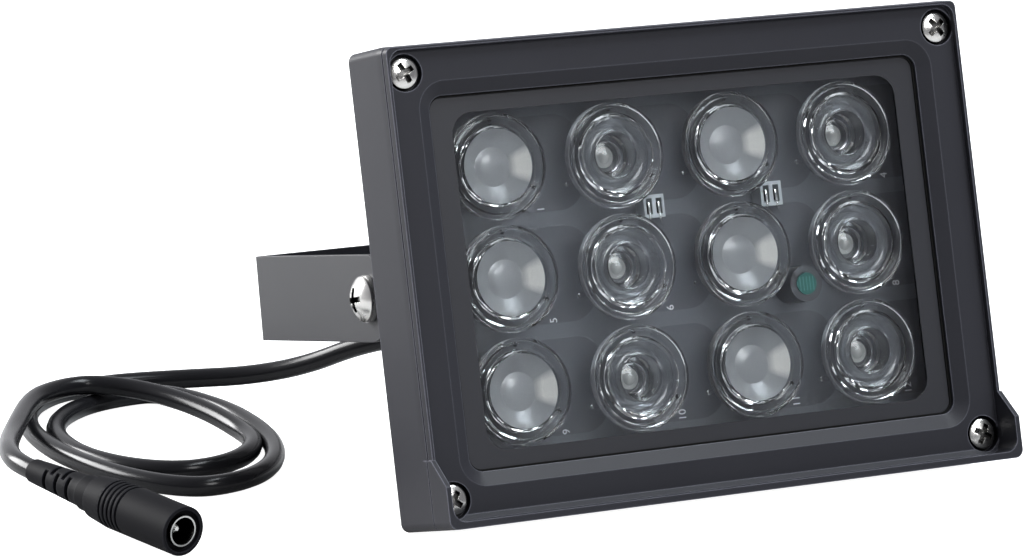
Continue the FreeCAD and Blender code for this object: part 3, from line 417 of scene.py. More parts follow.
def painted_edge_light_and_shade():
    """Masks for a painted highlight along the outer edges and a painted shade in the recesses of a piece."""
    if "painted_edge_light_and_shade" in bpy.data.node_groups:
        return bpy.data.node_groups["painted_edge_light_and_shade"]
    tree, enter, leave = new_group("painted_edge_light_and_shade", [
        ("Edge", "Float", 0.0004), ("Recess", "Float", 0.0012)], [("Edge", "Float"), ("Recess", "Float")])
    edge_gain, recess_gain, open_enough = 9.0, 2.4, 0.85
    # Edge mask for a painted highlight: how far a rounded normal turns from the true one
    true = node(tree, "NewGeometry").outputs["Normal"]
    eased = node(tree, "Bevel", {"Radius": enter.outputs["Edge"]}, samples=4).outputs["Normal"]
    between = node(tree, "VectorMath", {0: true, 1: eased}, operation="DOT_PRODUCT").outputs["Value"]
    turn = math_node(tree, "SUBTRACT", 1.0, between)
    tree.links.new(math_node(tree, "MULTIPLY", turn, edge_gain, clamp=True), leave.inputs["Edge"])
    # Recess mask for a painted shade: how shut in a point is from its surroundings
    open_sky = node(tree, "AmbientOcclusion", {"Distance": enter.outputs["Recess"]}, samples=6).outputs["AO"]
    shut = math_node(tree, "SUBTRACT", open_enough, open_sky)
    tree.links.new(math_node(tree, "MULTIPLY", shut, recess_gain, clamp=True), leave.inputs["Recess"])
    return tree


def rounded_cells():
    """A mask of rounded rectangles in rows and columns: one inside them, nothing between."""
    if "rounded_cells" in bpy.data.node_groups:
        return bpy.data.node_groups["rounded_cells"]
    tree, enter, leave = new_group("rounded_cells", [
        ("Across", "Float", 0.0), ("Up", "Float", 0.0), ("Pitch Across", "Float", 30.0),
        ("Pitch Up", "Float", 25.0), ("Wide", "Float", 20.0), ("High", "Float", 21.0),
        ("Corner", "Float", 6.0)], [("Inside", "Float")])
    beyond = []
    for axis, side in (("Across", "Wide"), ("Up", "High")):
        pitch = enter.outputs["Pitch " + axis]
        ahead = math_node(tree, "MULTIPLY", pitch, 0.5)
        behind = math_node(tree, "MULTIPLY", pitch, -0.5)
        near = math_node(tree, "ABSOLUTE", math_node(tree, "WRAP", enter.outputs[axis], ahead, behind))
        half = math_node(tree, "MULTIPLY", enter.outputs[side], 0.5)
        straight = math_node(tree, "SUBTRACT", half, enter.outputs["Corner"])
        past = math_node(tree, "MAXIMUM", math_node(tree, "SUBTRACT", near, straight), 0.0)
        beyond.append(math_node(tree, "MULTIPLY", past, past))
    reach = math_node(tree, "SQRT", math_node(tree, "ADD", *beyond))
    depth = math_node(tree, "SUBTRACT", enter.outputs["Corner"], reach)
    crispness = 6.0
    inside = math_node(tree, "MULTIPLY_ADD", depth, crispness, 0.5, clamp=True)
    tree.links.new(inside, leave.inputs["Inside"])
    return tree


def new_material(name, **sockets):
    """A material with its Principled shader. The sockets are plain values."""
    made = bpy.data.materials.new(name)
    made.use_nodes = True
    shader = made.node_tree.nodes["Principled BSDF"]
    for label, value in sockets.items():
        shader.inputs[label.replace("_", " ")].default_value = value
    return made, made.node_tree, shader


def coated(name, colour, rough, grain=2600.0, depth=0.12, drift=0.1, shine=0.35, edge_highlight=0.0):
    """A sprayed or moulded finish through the coat grain group. Given a gain, a painted highlight lightens
    its edges and a painted shade darkens its recesses.
    """
    made, tree, shader = new_material(name, Specular_IOR_Level=shine)
    coat = node(tree, "Group", node_tree=coat_grain(), Colour=(*colour, 1), Roughness=rough,
                Grain_Scale=grain, Grain_Depth=depth, Drift=drift)
    # Painted highlight along the edges and painted shade in the recesses, in the coat's colour
    if edge_highlight:
        places = node(tree, "Group", node_tree=painted_edge_light_and_shade()).outputs
        highlit_edges = math_node(tree, "MULTIPLY_ADD", places["Edge"], edge_highlight, 1.0)
        shaded = math_node(tree, "MULTIPLY_ADD", places["Recess"], SHADED_COAT, 1.0)
        lift = math_node(tree, "MULTIPLY", highlit_edges, shaded)
        tree.links.new(scaled(tree, colour, lift), coat.inputs["Colour"])
    tree.links.new(coat.outputs["Colour"], shader.inputs["Base Color"])
    tree.links.new(coat.outputs["Roughness"], shader.inputs["Roughness"])
    tree.links.new(coat.outputs["Normal"], shader.inputs["Normal"])
    return made


def bright_metal(name, colour, rough, recess=1.2):
    """Bare or plated metal through the turned marks group, with a painted shade in recesses of a width in mm.
    """
    made, tree, shader = new_material(name, Metallic=1.0)
    marks = node(tree, "Group", node_tree=turned_marks(), Roughness=rough)
    places = node(tree, "Group", node_tree=painted_edge_light_and_shade(), Recess=recess * MM)
    # Painted shade: the metal's colour darkens in its recesses
    shaded = math_node(tree, "MULTIPLY_ADD", places.outputs["Recess"], SHADED_METAL, 1.0)
    lift = math_node(tree, "MULTIPLY", marks.outputs["Shade"], shaded)
    tree.links.new(scaled(tree, colour, lift), shader.inputs["Base Color"])
    tree.links.new(marks.outputs["Roughness"], shader.inputs["Roughness"])
    tree.links.new(marks.outputs["Normal"], shader.inputs["Normal"])
    return made


def clear_plastic(name, tint, rough, ior=1.49):
    """Clear moulded lens plastic, with faint flow marks in its surface."""
    made, tree, shader = new_material(name, Metallic=0.0, Transmission_Weight=1.0, IOR=ior)
    shader.inputs["Base Color"].default_value = (*tint, 1)
    place = node(tree, "TexCoord").outputs["Object"]
    flow = node(tree, "TexNoise", {"Vector": place}, Scale=420.0, Detail=2.0)
    spread = 0.05
    gloss = math_node(tree, "MULTIPLY_ADD", flow.outputs["Fac"], spread, rough - spread / 2, clamp=True)
    tree.links.new(gloss, shader.inputs["Roughness"])
    bump = node(tree, "Bump", {"Height": flow.outputs["Fac"]}, Strength=0.02, Distance=BUMP_DEPTH)
    tree.links.new(bump.outputs["Normal"], shader.inputs["Normal"])
    return made


def painted_highlight_wedge(tree):
    """A painted highlight: the wedge of each frosted bowl, beside its dome, lightened where the lens would
    gather the room's light.
    """
    gain, starts = 0.55, -2.1
    slope, narrowest, fullness = 0.55, 0.1, 1.25
    place = case_point(tree)
    from_first = math_node(tree, "ADD", place["X"], (COLUMNS - 1) / 2 * LENS_ACROSS)
    across = math_node(tree, "WRAP", from_first, LENS_ACROSS, -LENS_ACROSS)
    up = math_node(tree, "ABSOLUTE", math_node(tree, "WRAP", place["Z"], LENS_UP / 2, -LENS_UP / 2))
    outward = math_node(tree, "MULTIPLY_ADD", across, gain, starts, clamp=True)
    reach = math_node(tree, "MAXIMUM", math_node(tree, "MULTIPLY", across, slope), narrowest)
    spread = math_node(tree, "DIVIDE", up, reach)
    squared = math_node(tree, "MULTIPLY", spread, spread)
    within = math_node(tree, "SUBTRACT", fullness, squared, clamp=True)
    return math_node(tree, "MULTIPLY", outward, within)


def frosted_plastic(name, tint, rough, clear, painted_highlight_tint=None):
    """Etched lens plastic: milky, part clear, finely speckled, with a painted highlight where it would gather
    light.
    """
    made, tree, shader = new_material(name, Metallic=0.0, Transmission_Weight=clear, IOR=1.49,
                                      Roughness=rough, Specular_IOR_Level=0.9)
    place = node(tree, "TexCoord").outputs["Object"]
    speckle = node(tree, "TexNoise", {"Vector": place}, Scale=3200.0, Detail=2.0)
    speckled, darkest = 0.3, 0.85
    lift = math_node(tree, "MULTIPLY_ADD", speckle.outputs["Fac"], speckled, darkest)
    colour = tint
    # Painted highlight: the tint turns lighter in the wedge beside each dome
    if painted_highlight_tint:
        wedge = node(tree, "Mix", {"Factor": painted_highlight_wedge(tree)}, data_type="RGBA",
                     A=(*tint, 1), B=(*painted_highlight_tint, 1))
        colour = wedge.outputs["Result"]
    tree.links.new(scaled(tree, colour, lift), shader.inputs["Base Color"])
    bump = node(tree, "Bump", {"Height": speckle.outputs["Fac"]}, Strength=0.1, Distance=BUMP_DEPTH)
    tree.links.new(bump.outputs["Normal"], shader.inputs["Normal"])
    return made


# Sizes and colours that a user would change


class CoatSettings(bpy.types.PropertyGroup):
    front: FloatVectorProperty(name="Front coat", description="Colour of the sprayed front frame",
                               subtype="COLOR", size=3, min=0, max=1, default=(0.0225, 0.0228, 0.0275))
    rear: FloatVectorProperty(name="Rear coat", description="Colour of the finned rear housing",
                              subtype="COLOR", size=3, min=0, max=1, default=(0.0095, 0.0095, 0.0125))
    bracket: FloatVectorProperty(name="Bracket coat", description="Colour of the U bracket",
                                 subtype="COLOR", size=3, min=0, max=1, default=(0.011, 0.011, 0.0145))
    roughness: FloatProperty(name="Coat roughness", description="How matt the sprayed coat is",
                             subtype="FACTOR", min=0, max=1, default=0.40)
    grain: FloatProperty(name="Coat grain", description="Depth of the orange peel in the coat",
                         subtype="FACTOR", min=0, max=1, default=0.14)
    edge: FloatProperty(name="Casting edge", description="Radius of a casting's softened edges",
                        subtype="DISTANCE", min=0.00005, max=0.0006, default=0.00022)


class OpticsSettings(bpy.types.PropertyGroup):
    glass: FloatVectorProperty(name="Window tint", description="Tint of the window glass",
                               subtype="COLOR", size=3, min=0, max=1, default=(0.93, 0.95, 0.96))
    border: FloatVectorProperty(name="Window border", description="Colour of the printed border",
                                subtype="COLOR", size=3, min=0, max=1, default=(0.0205, 0.021, 0.025))
    lens: FloatVectorProperty(name="Lens tint", description="Tint of the clear lens plastic",
                              subtype="COLOR", size=3, min=0, max=1, default=(0.97, 0.98, 0.985))
    milk: FloatVectorProperty(name="Frosted tint", description="Tint of the frosted lens faces",
                              subtype="COLOR", size=3, min=0, max=1, default=(0.34, 0.35, 0.365))
    # Tint of the painted highlight in each frosted bowl
    painted_highlight_tint: FloatVectorProperty(name="Painted highlight",
                              description="Tint where a frosted lens gathers the room's light",
                              subtype="COLOR", size=3, min=0, max=1, default=(1.0, 0.98, 0.93))
    satin: FloatVectorProperty(name="Satin tint",
                               description="Tint of the fine etched ring on the clear lenses",
                               subtype="COLOR", size=3, min=0, max=1, default=(0.19, 0.205, 0.23))
    frost: FloatProperty(name="Frosting", description="Roughness of the frosted lens faces",
                         subtype="FACTOR", min=0, max=1, default=0.30)


class BoardSettings(bpy.types.PropertyGroup):
    mask: FloatVectorProperty(name="Board mask", description="Colour of the board's solder mask",
                              subtype="COLOR", size=3, min=0, max=1, default=(0.112, 0.120, 0.140))
    pour: FloatVectorProperty(name="Copper pour", description="Colour of the mask over copper",
                              subtype="COLOR", size=3, min=0, max=1, default=(0.160, 0.170, 0.195))
    marks: FloatVectorProperty(name="Board marks", description="Colour of the printed marks",
                               subtype="COLOR", size=3, min=0, max=1, default=(0.95, 0.97, 1.0))


class LeadSettings(bpy.types.PropertyGroup):
    diameter: FloatProperty(name="Lead diameter", description="Outside diameter of the lead",
                            subtype="DISTANCE", min=0.003, max=0.008, default=0.0047)
    length: FloatProperty(name="Lead length", description="Length of the lead from gland to boot",
                          subtype="DISTANCE", min=0.3, max=2.0, default=0.675)
    jacket: FloatVectorProperty(name="Jacket", description="Colour of the lead's jacket",
                                subtype="COLOR", size=3, min=0, max=1, default=(0.0085, 0.0085, 0.0098))
    moulding: FloatVectorProperty(name="Moulding", description="Colour of the boot and the in-line socket",
                                  subtype="COLOR", size=3, min=0, max=1, default=(0.0050, 0.0050, 0.0062))


class StudioSettings(bpy.types.PropertyGroup):
    focal: FloatProperty(name="Focal length", description="Focal length of the camera, in millimetres",
                         subtype="DISTANCE_CAMERA", min=35, max=300, default=187.65)
    side: FloatProperty(name="Side light",
                        description="Power of the soft light behind the housing on the left",
                        subtype="POWER", min=0, max=200, default=52)
    front: FloatProperty(name="Front light", description="Power of the soft light in front on the right",
                         subtype="POWER", min=0, max=200, default=13)
    top: FloatProperty(name="Top light", description="Power of the soft light overhead",
                       subtype="POWER", min=0, max=200, default=28)
    around: FloatProperty(name="Surrounding light", description="Strength of the white surroundings",
                          min=0, max=4, default=0.62)
    floor: FloatProperty(name="Floor shade", description="Paleness of the floor",
                         subtype="FACTOR", min=0, max=1, default=0.5)


# Studio: a pale floor, soft lights and the camera


FLOOR_RADIUS = 3.0
FLOOR_DRIFT = 0.02
# Where each soft light hangs, and how wide and high it is, in metres
SIDE_LIGHT = (-0.95, 1.1, 0.6), 1.0, 0.7
FRONT_LIGHT = (0.2, -1.3, 0.95), 0.6, 0.5
TOP_LIGHT = (0.55, -0.35, 1.4), 0.9, 0.6
TOP_TINT = (0.9, 0.96, 1.0)
LIT_POINT = (0, 0, 0.05)
# The surroundings from the front to the back
DIM_FRONT, BRIGHT_BACK = (0.30, 0.30, 0.33, 1), (1.9, 1.93, 2.0, 1)
ROOM_STEPS = ((0.4, 0.45), (0.7, 1.0))
BLUER = 1.05
CAMERA_PLACE = (-0.5706, -1.05456, 0.29865)
CAMERA_LOOKS = (0.4465, 0.8704, -0.2075)
FILM_WIDE = 36


def towards(direction):
    """The turn of a lamp or camera that looks in a direction."""
    return Vector(direction).to_track_quat("-Z", "Y").to_euler()


def soft_light(name, place, wide, high, power, tint=(1, 1, 1)):
    """A soft box that looks at the middle of the scene."""
    lamp = bpy.data.lights.new(name, "AREA")
    lamp.shape = "RECTANGLE"
    lamp.size = wide
    lamp.size_y = high
    lamp.energy = power
    lamp.color = tint
    piece = bpy.data.objects.new(name, lamp)
    bpy.context.scene.collection.objects.link(piece)
    piece.location = place
    piece.rotation_euler = towards(Vector(LIT_POINT) - piece.location)


def studio_world(strength):
    """Surroundings that are bright behind and dim in front. To the camera they are plain white."""
    to_side, to_back, middle = -0.15, 0.4, 0.5
    world = bpy.data.worlds.new("studio")
    bpy.context.scene.world = world
    world.use_nodes = True
    tree = world.node_tree
    tree.nodes.clear()
    apart = node(tree, "SeparateXYZ", {"Vector": node(tree, "TexCoord").outputs["Generated"]})
    sideways = math_node(tree, "MULTIPLY_ADD", apart.outputs["X"], to_side, middle)
    backward = math_node(tree, "MULTIPLY_ADD", apart.outputs["Y"], to_back, sideways, clamp=True)
    shade = node(tree, "ValToRGB", {"Fac": backward})
    ramp = shade.color_ramp
    ramp.elements[0].color = DIM_FRONT
    ramp.elements[1].color = BRIGHT_BACK
    for place, level in ROOM_STEPS:
        step = ramp.elements.new(place)
        step.color = (level, level, level * BLUER, 1)
    room = node(tree, "Background", {"Color": shade.outputs["Color"]}, Strength=strength)
    white = node(tree, "Background", Color=(1, 1, 1, 1), Strength=1.0)
    path = node(tree, "LightPath")
    mixed = node(tree, "MixShader", {"Fac": path.outputs["Is Camera Ray"],
                                     1: room.outputs[0], 2: white.outputs[0]})
    leave = tree.nodes.new("ShaderNodeOutputWorld")
    tree.links.new(mixed.outputs[0], leave.inputs["Surface"])


def floor_finish(shade):
    """Plain white to the camera, and a faintly uneven paleness to the lights."""
    made, tree, shader = new_material("floor_white", Roughness=0.9, Emission_Color=(1, 1, 1, 1))
    seen = node(tree, "LightPath").outputs["Is Camera Ray"]
    tree.links.new(seen, shader.inputs["Emission Strength"])
    speck = node(tree, "TexNoise", {"Vector": node(tree, "TexCoord").outputs["Object"]}, Scale=6.0)
    pale = shade + FLOOR_DRIFT
    drift = node(tree, "Mix", {"Factor": speck.outputs["Fac"]}, data_type="RGBA",
                 A=(shade, shade, shade, 1), B=(pale, pale, pale, 1))
    tree.links.new(drift.outputs["Result"], shader.inputs["Base Color"])
    return made


class ILLUMINATOR_OT_stage(bpy.types.Operator):
    """Lay the pale floor, hang the soft lights and set the camera at the photograph's angle"""

    bl_idname = "illuminator.stage"
    bl_label = "Studio"

    def execute(self, context):
        studio = context.scene.illuminator_studio
        clear_selection()
        bpy.ops.mesh.primitive_circle_add(vertices=96, radius=FLOOR_RADIUS, fill_type="NGON")
        floor = context.object
        floor.name = "floor"
        painted(floor, floor_finish(studio.floor))
        studio_world(studio.around)
        soft_light("side_light", *SIDE_LIGHT, studio.side)
        soft_light("front_light", *FRONT_LIGHT, studio.front)
        soft_light("top_light", *TOP_LIGHT, studio.top, TOP_TINT)
        lens = bpy.data.cameras.new("camera")
        lens.lens = studio.focal
        lens.sensor_width = FILM_WIDE
        camera = bpy.data.objects.new("camera", lens)
        context.scene.collection.objects.link(camera)
        camera.location = CAMERA_PLACE
        camera.rotation_euler = towards(CAMERA_LOOKS)
        context.scene.camera = camera
        context.scene.view_settings.view_transform = "Standard"
        return {"FINISHED"}


class ILLUMINATOR_OT_castings(bpy.types.Operator):
    """Spray the front frame, the finned rear housing and its seal"""

    bl_idname = "illuminator.castings"
    bl_label = "Castings"

    def execute(self, context):
        coats = context.scene.illuminator_coats
        # Both coats get a painted highlight on their edges and a painted shade in their recesses
        front = coated("front_coat", coats.front, coats.roughness, depth=coats.grain, shine=0.1, edge_highlight=5.0)
        rear = coated("rear_coat", coats.rear, coats.roughness + 0.08, depth=coats.grain,
                      shine=0.42, edge_highlight=3.0)
        dress("front_frame", front, coats.edge / MM)
        dress("rear_housing", rear, coats.edge / MM)
        dress("body_seal", coated("seal_rubber", SEAL_BLACK, 0.7, grain=1200.0))
        return {"FINISHED"}


def window_bead_and_shadow():
    """The thin black bead that seals the glass into the front frame's opening; nearly black, it is also a
    painted shadow line in the gap between glass and frame.
    """
    clear_selection()
    bpy.ops.mesh.primitive_plane_add(size=1)
    bead = bpy.context.object
    bead.name = "window_bead_and_shadow"
    bead.scale = (OPENING_WIDE * MM, OPENING_HIGH * MM, 1)
    bpy.ops.object.transform_apply(location=True, rotation=True, scale=True)
    start_editing()
    bpy.ops.mesh.bevel(offset=OPENING_CORNER * MM, segments=8, affect="VERTICES")
    bpy.ops.mesh.select_all(action="SELECT")
    bpy.ops.mesh.inset(thickness=BEAD_WIDE * MM)
    bpy.ops.mesh.delete(type="FACE")
    bpy.ops.mesh.select_all(action="SELECT")
    bpy.ops.mesh.extrude_region_move(TRANSFORM_OT_translate={"value": (0, 0, BEAD_HIGH * MM)})
    end_editing(40)
    bead.data.transform(in_case(0, OPENING_BACK, 0))
    return bead


class ILLUMINATOR_OT_window(bpy.types.Operator):
    """Set the window glass and its printed black border"""

    bl_idname = "illuminator.window"
    bl_label = "Window"

    def execute(self, context):
        optics = context.scene.illuminator_optics
        print_black = coated("border_print", optics.border, 0.35, grain=3000.0, depth=0.03, drift=0.06)
        dress("window_mask", print_black)
        dress("window_glass", clear_plastic("window_clear", optics.glass, 0.02, ior=1.45))
        # A black bead round the glass, which is also a painted shadow line in the gap between glass and frame
        rubber = coated("bead_and_shadow_black", BEAD_AND_SHADOW_BLACK, 0.6, grain=1200.0, shine=0.1)
        settle(painted(window_bead_and_shadow(), rubber))
        return {"FINISHED"}


def board_finish(mask, pour):
    """Slate mask: rounded fields between the lenses, a shade darker than the copper around them."""
    made, tree, shader = new_material("board_mask")
    place = case_point(tree)
    cells = node(tree, "Group", {"Across": place["X"], "Up": place["Z"]}, node_tree=rounded_cells(),
                 Pitch_Across=LENS_ACROSS, Pitch_Up=LENS_UP, Wide=LENS_ACROSS - STRIP_WIDE,
                 High=LENS_UP - STRIP_HIGH, Corner=FIELD_CORNER)
    tint = node(tree, "Mix", {"Factor": cells.outputs["Inside"]}, data_type="RGBA",
                A=(*pour, 1), B=(*mask, 1))
    coat = node(tree, "Group", {"Colour": tint.outputs["Result"]}, node_tree=coat_grain(),
                Roughness=0.42, Grain_Scale=1500.0, Grain_Depth=0.05, Drift=0.12)
    step = node(tree, "Bump", {"Height": cells.outputs["Inside"], "Normal": coat.outputs["Normal"]},
                Strength=0.4, Distance=0.00005)
    tree.links.new(coat.outputs["Colour"], shader.inputs["Base Color"])
    tree.links.new(coat.outputs["Roughness"], shader.inputs["Roughness"])
    tree.links.new(step.outputs["Normal"], shader.inputs["Normal"])
    return made


class ILLUMINATOR_OT_board(bpy.types.Operator):
    """Dress the emitter board and its heat pad, and print a plain number beside each lens"""

    bl_idname = "illuminator.board"
    bl_label = "Board"

    def execute(self, context):
        board = context.scene.illuminator_board
        dress("led_board", board_finish(board.mask, board.pour))
        dress("thermal_pad", coated("pad_grey", PAD_GREY, 0.8, grain=900.0))
        numbers = []
        for place in range(ROWS * COLUMNS):
            row, column = divmod(place, COLUMNS)
            clear_selection()
            bpy.ops.object.text_add()
            number = context.object
            number.data.body = str(place + 1)
            number.data.size = NUMBER_HIGH * MM
            number.data.extrude = NUMBER_THICK * MM
            bpy.ops.object.convert(target="MESH")
            across, up = lens_middle(row, column)
            number.data.transform(in_case(across + NUMBER_ACROSS, BOARD_FRONT - NUMBER_THICK,
                                          up + NUMBER_UP, spin=90))
            numbers.append(number)
        print_white = coated("board_print", board.marks, 0.5, grain=2400.0)
        settle(painted(joined("board_numbers", numbers), print_white))
        return {"FINISHED"}


# Lenses: profiles from the board up, radius and height in mm

WELL = [(0.01, 3.75), (1.1, 3.66), (2.1, 3.38), (2.9, 2.95), (3.3, 2.6), (3.55, 0.02)]
CONE = [(4.5, 0.02), (4.7, 0.3), (6.1, 1.8), (7.4, 3.5), (8.3, 4.8), (8.95, 5.72), (11.6, 5.72)]
FLANGE = (arc(11.62, 5.99, 0.27, -90, 0, 3) + arc(11.67, 8.08, 0.22, 0, 90, 3)
          + arc(11.45, 8.1, 0.2, 90, 180, 3) + [(11.2, 7.0), (11.05, 6.9)])
STEP = [(10.72, 6.95)] + arc(10.3, 7.7, 0.22, 10, 90, 3) + [(9.62, 7.92)] + arc(9.6, 7.72, 0.2, 90, 170, 2)
FROSTED_FACE = (STEP + [(9.25, 7.35), (9.0, 7.45)] + arc(8.5, 7.85, 0.4, -20, 110, 5)
                + [(8.05, 7.95), (7.7, 7.62), (7.2, 7.22), (6.4, 6.6), (5.4, 5.95), (4.75, 5.5)]
                + [(4.4, 5.3), (4.2, 5.32), (3.6, 5.6), (2.6, 5.88), (1.3, 6.05), (0.01, 6.1)])
CLEAR_FACE = (STEP + [(9.3, 7.5), (8.95, 7.78)] + arc(8.7, 7.75, 0.25, 30, 120, 3)
              + [(8.2, 7.75), (7.5, 7.3), (6.7, 7.1), (6.0, 7.15), (5.5, 7.4)]
              + arc(5.15, 7.35, 0.25, 60, 180, 3) + [(4.85, 4.35)] + arc(4.65, 4.3, 0.18, 0, -60, 2)
              + [(3.9, 4.45), (2.6, 4.85), (1.3, 5.08), (0.01, 5.15)])
PEG_OUT = 10.4
PEG_TURNS = (90, 210, 330)
PEG = [(0.5, 0.02), (0.55, 0.1), (0.55, 5.7)]
# From where to where the faces of the frosted and the clear lens are etched, and above what height
ETCHED = ((0, 8.3), (5.3, 8.1))
FACE_FROM = 5.0


def lens_body(name, face):
    """A whole lens: one closed turned solid over its emitter, and three pegs under its flange."""
    body = turned(name, WELL + CONE + FLANGE + face, sides=72, smooth=24)
    pegs = []
    for turn in PEG_TURNS:
        peg = turned(name + "_peg", PEG, sides=16)
        out = Matrix.Rotation(math.radians(turn), 4, "Z") @ Matrix.Translation((PEG_OUT * MM, 0, 0))
        peg.data.transform(out)
        pegs.append(peg)
    return joined(name, [body] + pegs)


class ILLUMINATOR_OT_lenses(bpy.types.Operator):
    """Turn the frosted and the clear lenses and set them in their rows"""

    bl_idname = "illuminator.lenses"
    bl_label = "Lenses"

    def execute(self, context):
        optics = context.scene.illuminator_optics
        clear = (clear_plastic("lens_rim", optics.lens, 0.05, ior=1.38),
                 clear_plastic("lens_clear", optics.lens, 0.02))
        etched = (frosted_plastic("lens_frosted", optics.milk, optics.frost, 0.12, optics.painted_highlight_tint),
                  frosted_plastic("lens_satin", optics.satin, 0.2, 0.6))
        patterns = (lens_body("frosted_pattern", FROSTED_FACE), lens_body("clear_pattern", CLEAR_FACE))
        for pattern, (inner, outer) in zip(patterns, ETCHED):
            for polygon in pattern.data.polygons:
                out = polygon.center.xy.length / MM
                on_face = polygon.center.z > FACE_FROM * MM and polygon.normal.z > 0.1
                polygon.material_index = int(on_face and inner < out < outer)
        for row in range(ROWS):
            for column in range(COLUMNS):
                spot = "r%dc%d" % (row + 1, column + 1)
                across, up = lens_middle(row, column)
                place = in_case(across, BOARD_FRONT, up)
                kind = column % 2
                piece = copied(patterns[kind], ("frosted_", "clear_")[kind] + spot, place)
                index = [polygon.material_index for polygon in piece.data.polygons]
                painted(piece, clear[kind], etched[kind])
                piece.data.polygons.foreach_set("material_index", index)
                settle(piece, nodes=("lens_" + spot,))
        for pattern in patterns:
            drop(pattern)
        return {"FINISHED"}


class ILLUMINATOR_OT_emitters(bpy.types.Operator):
    """Dress the emitters under the lenses"""

    bl_idname = "illuminator.emitters"
    bl_label = "Emitters"

    def execute(self, context):
        package = coated("emitter_package", PACKAGE_WHITE, 0.14, grain=1500.0, shine=0.8)
        for row in range(ROWS):
            for column in range(COLUMNS):
                dress("emitter_r%dc%d" % (row + 1, column + 1), package)
        return {"FINISHED"}


def cell_finish():
    """The daylight cell: a fine light track that winds across a teal face."""
    made, tree, shader = new_material("cell_teal", Roughness=0.32)
    place = case_point(tree)
    across = math_node(tree, "SUBTRACT", place["X"], SENSOR_ACROSS)
    up = math_node(tree, "SUBTRACT", place["Z"], SENSOR_UP)
    track = math_node(tree, "PINGPONG", across, TRACK_PITCH)
    line = math_node(tree, "LESS_THAN", track, TRACK_WIDE)
    within = math_node(tree, "LESS_THAN", math_node(tree, "ABSOLUTE", up), TRACK_HIGH)
    speck = node(tree, "TexNoise", {"Vector": node(tree, "TexCoord").outputs["Object"]}, Scale=900.0)
    speckled, darkest = 0.5, 0.6
    lift = math_node(tree, "MULTIPLY_ADD", speck.outputs["Fac"], speckled, darkest)
    winding = math_node(tree, "MULTIPLY", math_node(tree, "MULTIPLY", line, within), lift, clamp=True)
    tint = node(tree, "Mix", {"Factor": winding}, data_type="RGBA",
                A=(*CELL_FACE, 1), B=(*CELL_TRACK, 1))
    tree.links.new(tint.outputs["Result"], shader.inputs["Base Color"])
    return made


def wire(points):
    """A bare wire through a few points of the housing's axes, in mm."""
    placed = [CASE @ (Vector(point) * MM) for point in points]
    pick(strand("wire", placed, WIRE_THICK * MM, along=6, around=2))
    bpy.ops.object.convert(target="MESH")
    return bpy.context.object


def socket_wires(name, across, up):
    """The two bright pins in a board socket, and the bare wires that leave them."""
    face = BOARD_FRONT - SOCKET_TALL
    parts = []
    for side in (-1, 1):
        pin = block("pin", PIN_SIZE, PIN_EDGE)
        pin.data.transform(in_case(across + side * PIN_APART, face + PIN_DEEP, up + PIN_LOW))
        parts.append(pin)
        parts.append(wire([(across + along + side * apart, face + behind, up + rise + side * above)
                           for along, apart, behind, rise, above in WIRE_RUN]))
    return joined(name + "_wires", parts)


class ILLUMINATOR_OT_sensor(bpy.types.Operator):
    """Dress the daylight sensor, its collar and the board sockets, with their pins and wires"""

    bl_idname = "illuminator.sensor"
    bl_label = "Sensor and sockets"

    def execute(self, context):
        dress("photocell", cell_finish())
        dress("photocell_collar", coated("collar_smoke", COLLAR_SMOKE, 0.3, shine=0.6))
        nylon = coated("socket_nylon", SOCKET_NYLON, 0.45, grain=1500.0)
        bright = bright_metal("pin_bright", PIN_BRIGHT, 0.2)
        for name, (across, up) in SOCKETS.items():
            dress(name, nylon)
            settle(painted(socket_wires(name, across, up), bright))
        return {"FINISHED"}


class ILLUMINATOR_OT_screws(bpy.types.Operator):
    """Dress the cover screws, pivot screws and lock washers"""

    bl_idname = "illuminator.screws"
    bl_label = "Screws"

    def execute(self, context):
        # Painted shade darkens the screws' cross recesses
        nickel = bright_metal("screw_nickel", SCREW_NICKEL, 0.24, recess=2.3)
        for number in range(4):
            dress("screw_%d" % (number + 1), nickel, SCREW_EDGE)
        steel = bright_metal("washer_steel", WASHER_STEEL, 0.4)
        for side in ("left", "right"):
            dress("pivot_screw_" + side, nickel, PIVOT_SCREW_EDGE)
            dress("lock_washer_" + side, steel)
        return {"FINISHED"}


class ILLUMINATOR_OT_bracket(bpy.types.Operator):
    """Coat the U bracket and round its sheared edges"""

    bl_idname = "illuminator.bracket"
    bl_label = "Bracket"

    def execute(self, context):
        coats = context.scene.illuminator_coats
        coat = coated("bracket_coat", coats.bracket, coats.roughness + 0.05, depth=coats.grain)
        dress("bracket", coat, BRACKET_EDGE)
        return {"FINISHED"}


class ILLUMINATOR_OT_gland(bpy.types.Operator):
    """Dress the cable gland, its nut and its bush"""

    bl_idname = "illuminator.gland"
    bl_label = "Cable gland"

    def execute(self, context):
        nylon = coated("gland_nylon", GLAND_BLACK, 0.5, grain=1400.0)
        dress("cable_gland", nylon, GLAND_EDGE)
        dress("gland_nut", nylon, NUT_EDGE)
        dress("gland_bush", coated("bush_rubber", BUSH_BLACK, 0.75))
        return {"FINISHED"}


def loose_turns():
    """The turns on the ground, each quarter of a turn an arc of an ellipse."""
    found = []
    for quarter, (start, stop) in enumerate(zip(TURNS, TURNS[1:])):
        for step in range(STEPS_A_QUARTER):
            angle = math.radians(90 * step / STEPS_A_QUARTER)
            away, onward = 1 - math.cos(angle), math.sin(angle)
            if quarter % 2:
                away, onward = onward, away
            found.append((start[0] + (stop[0] - start[0]) * onward,
                          start[1] + (stop[1] - start[1]) * away,
                          start[2] + (stop[2] - start[2]) * math.sin(angle)))
    return found + [TURNS[-1]]


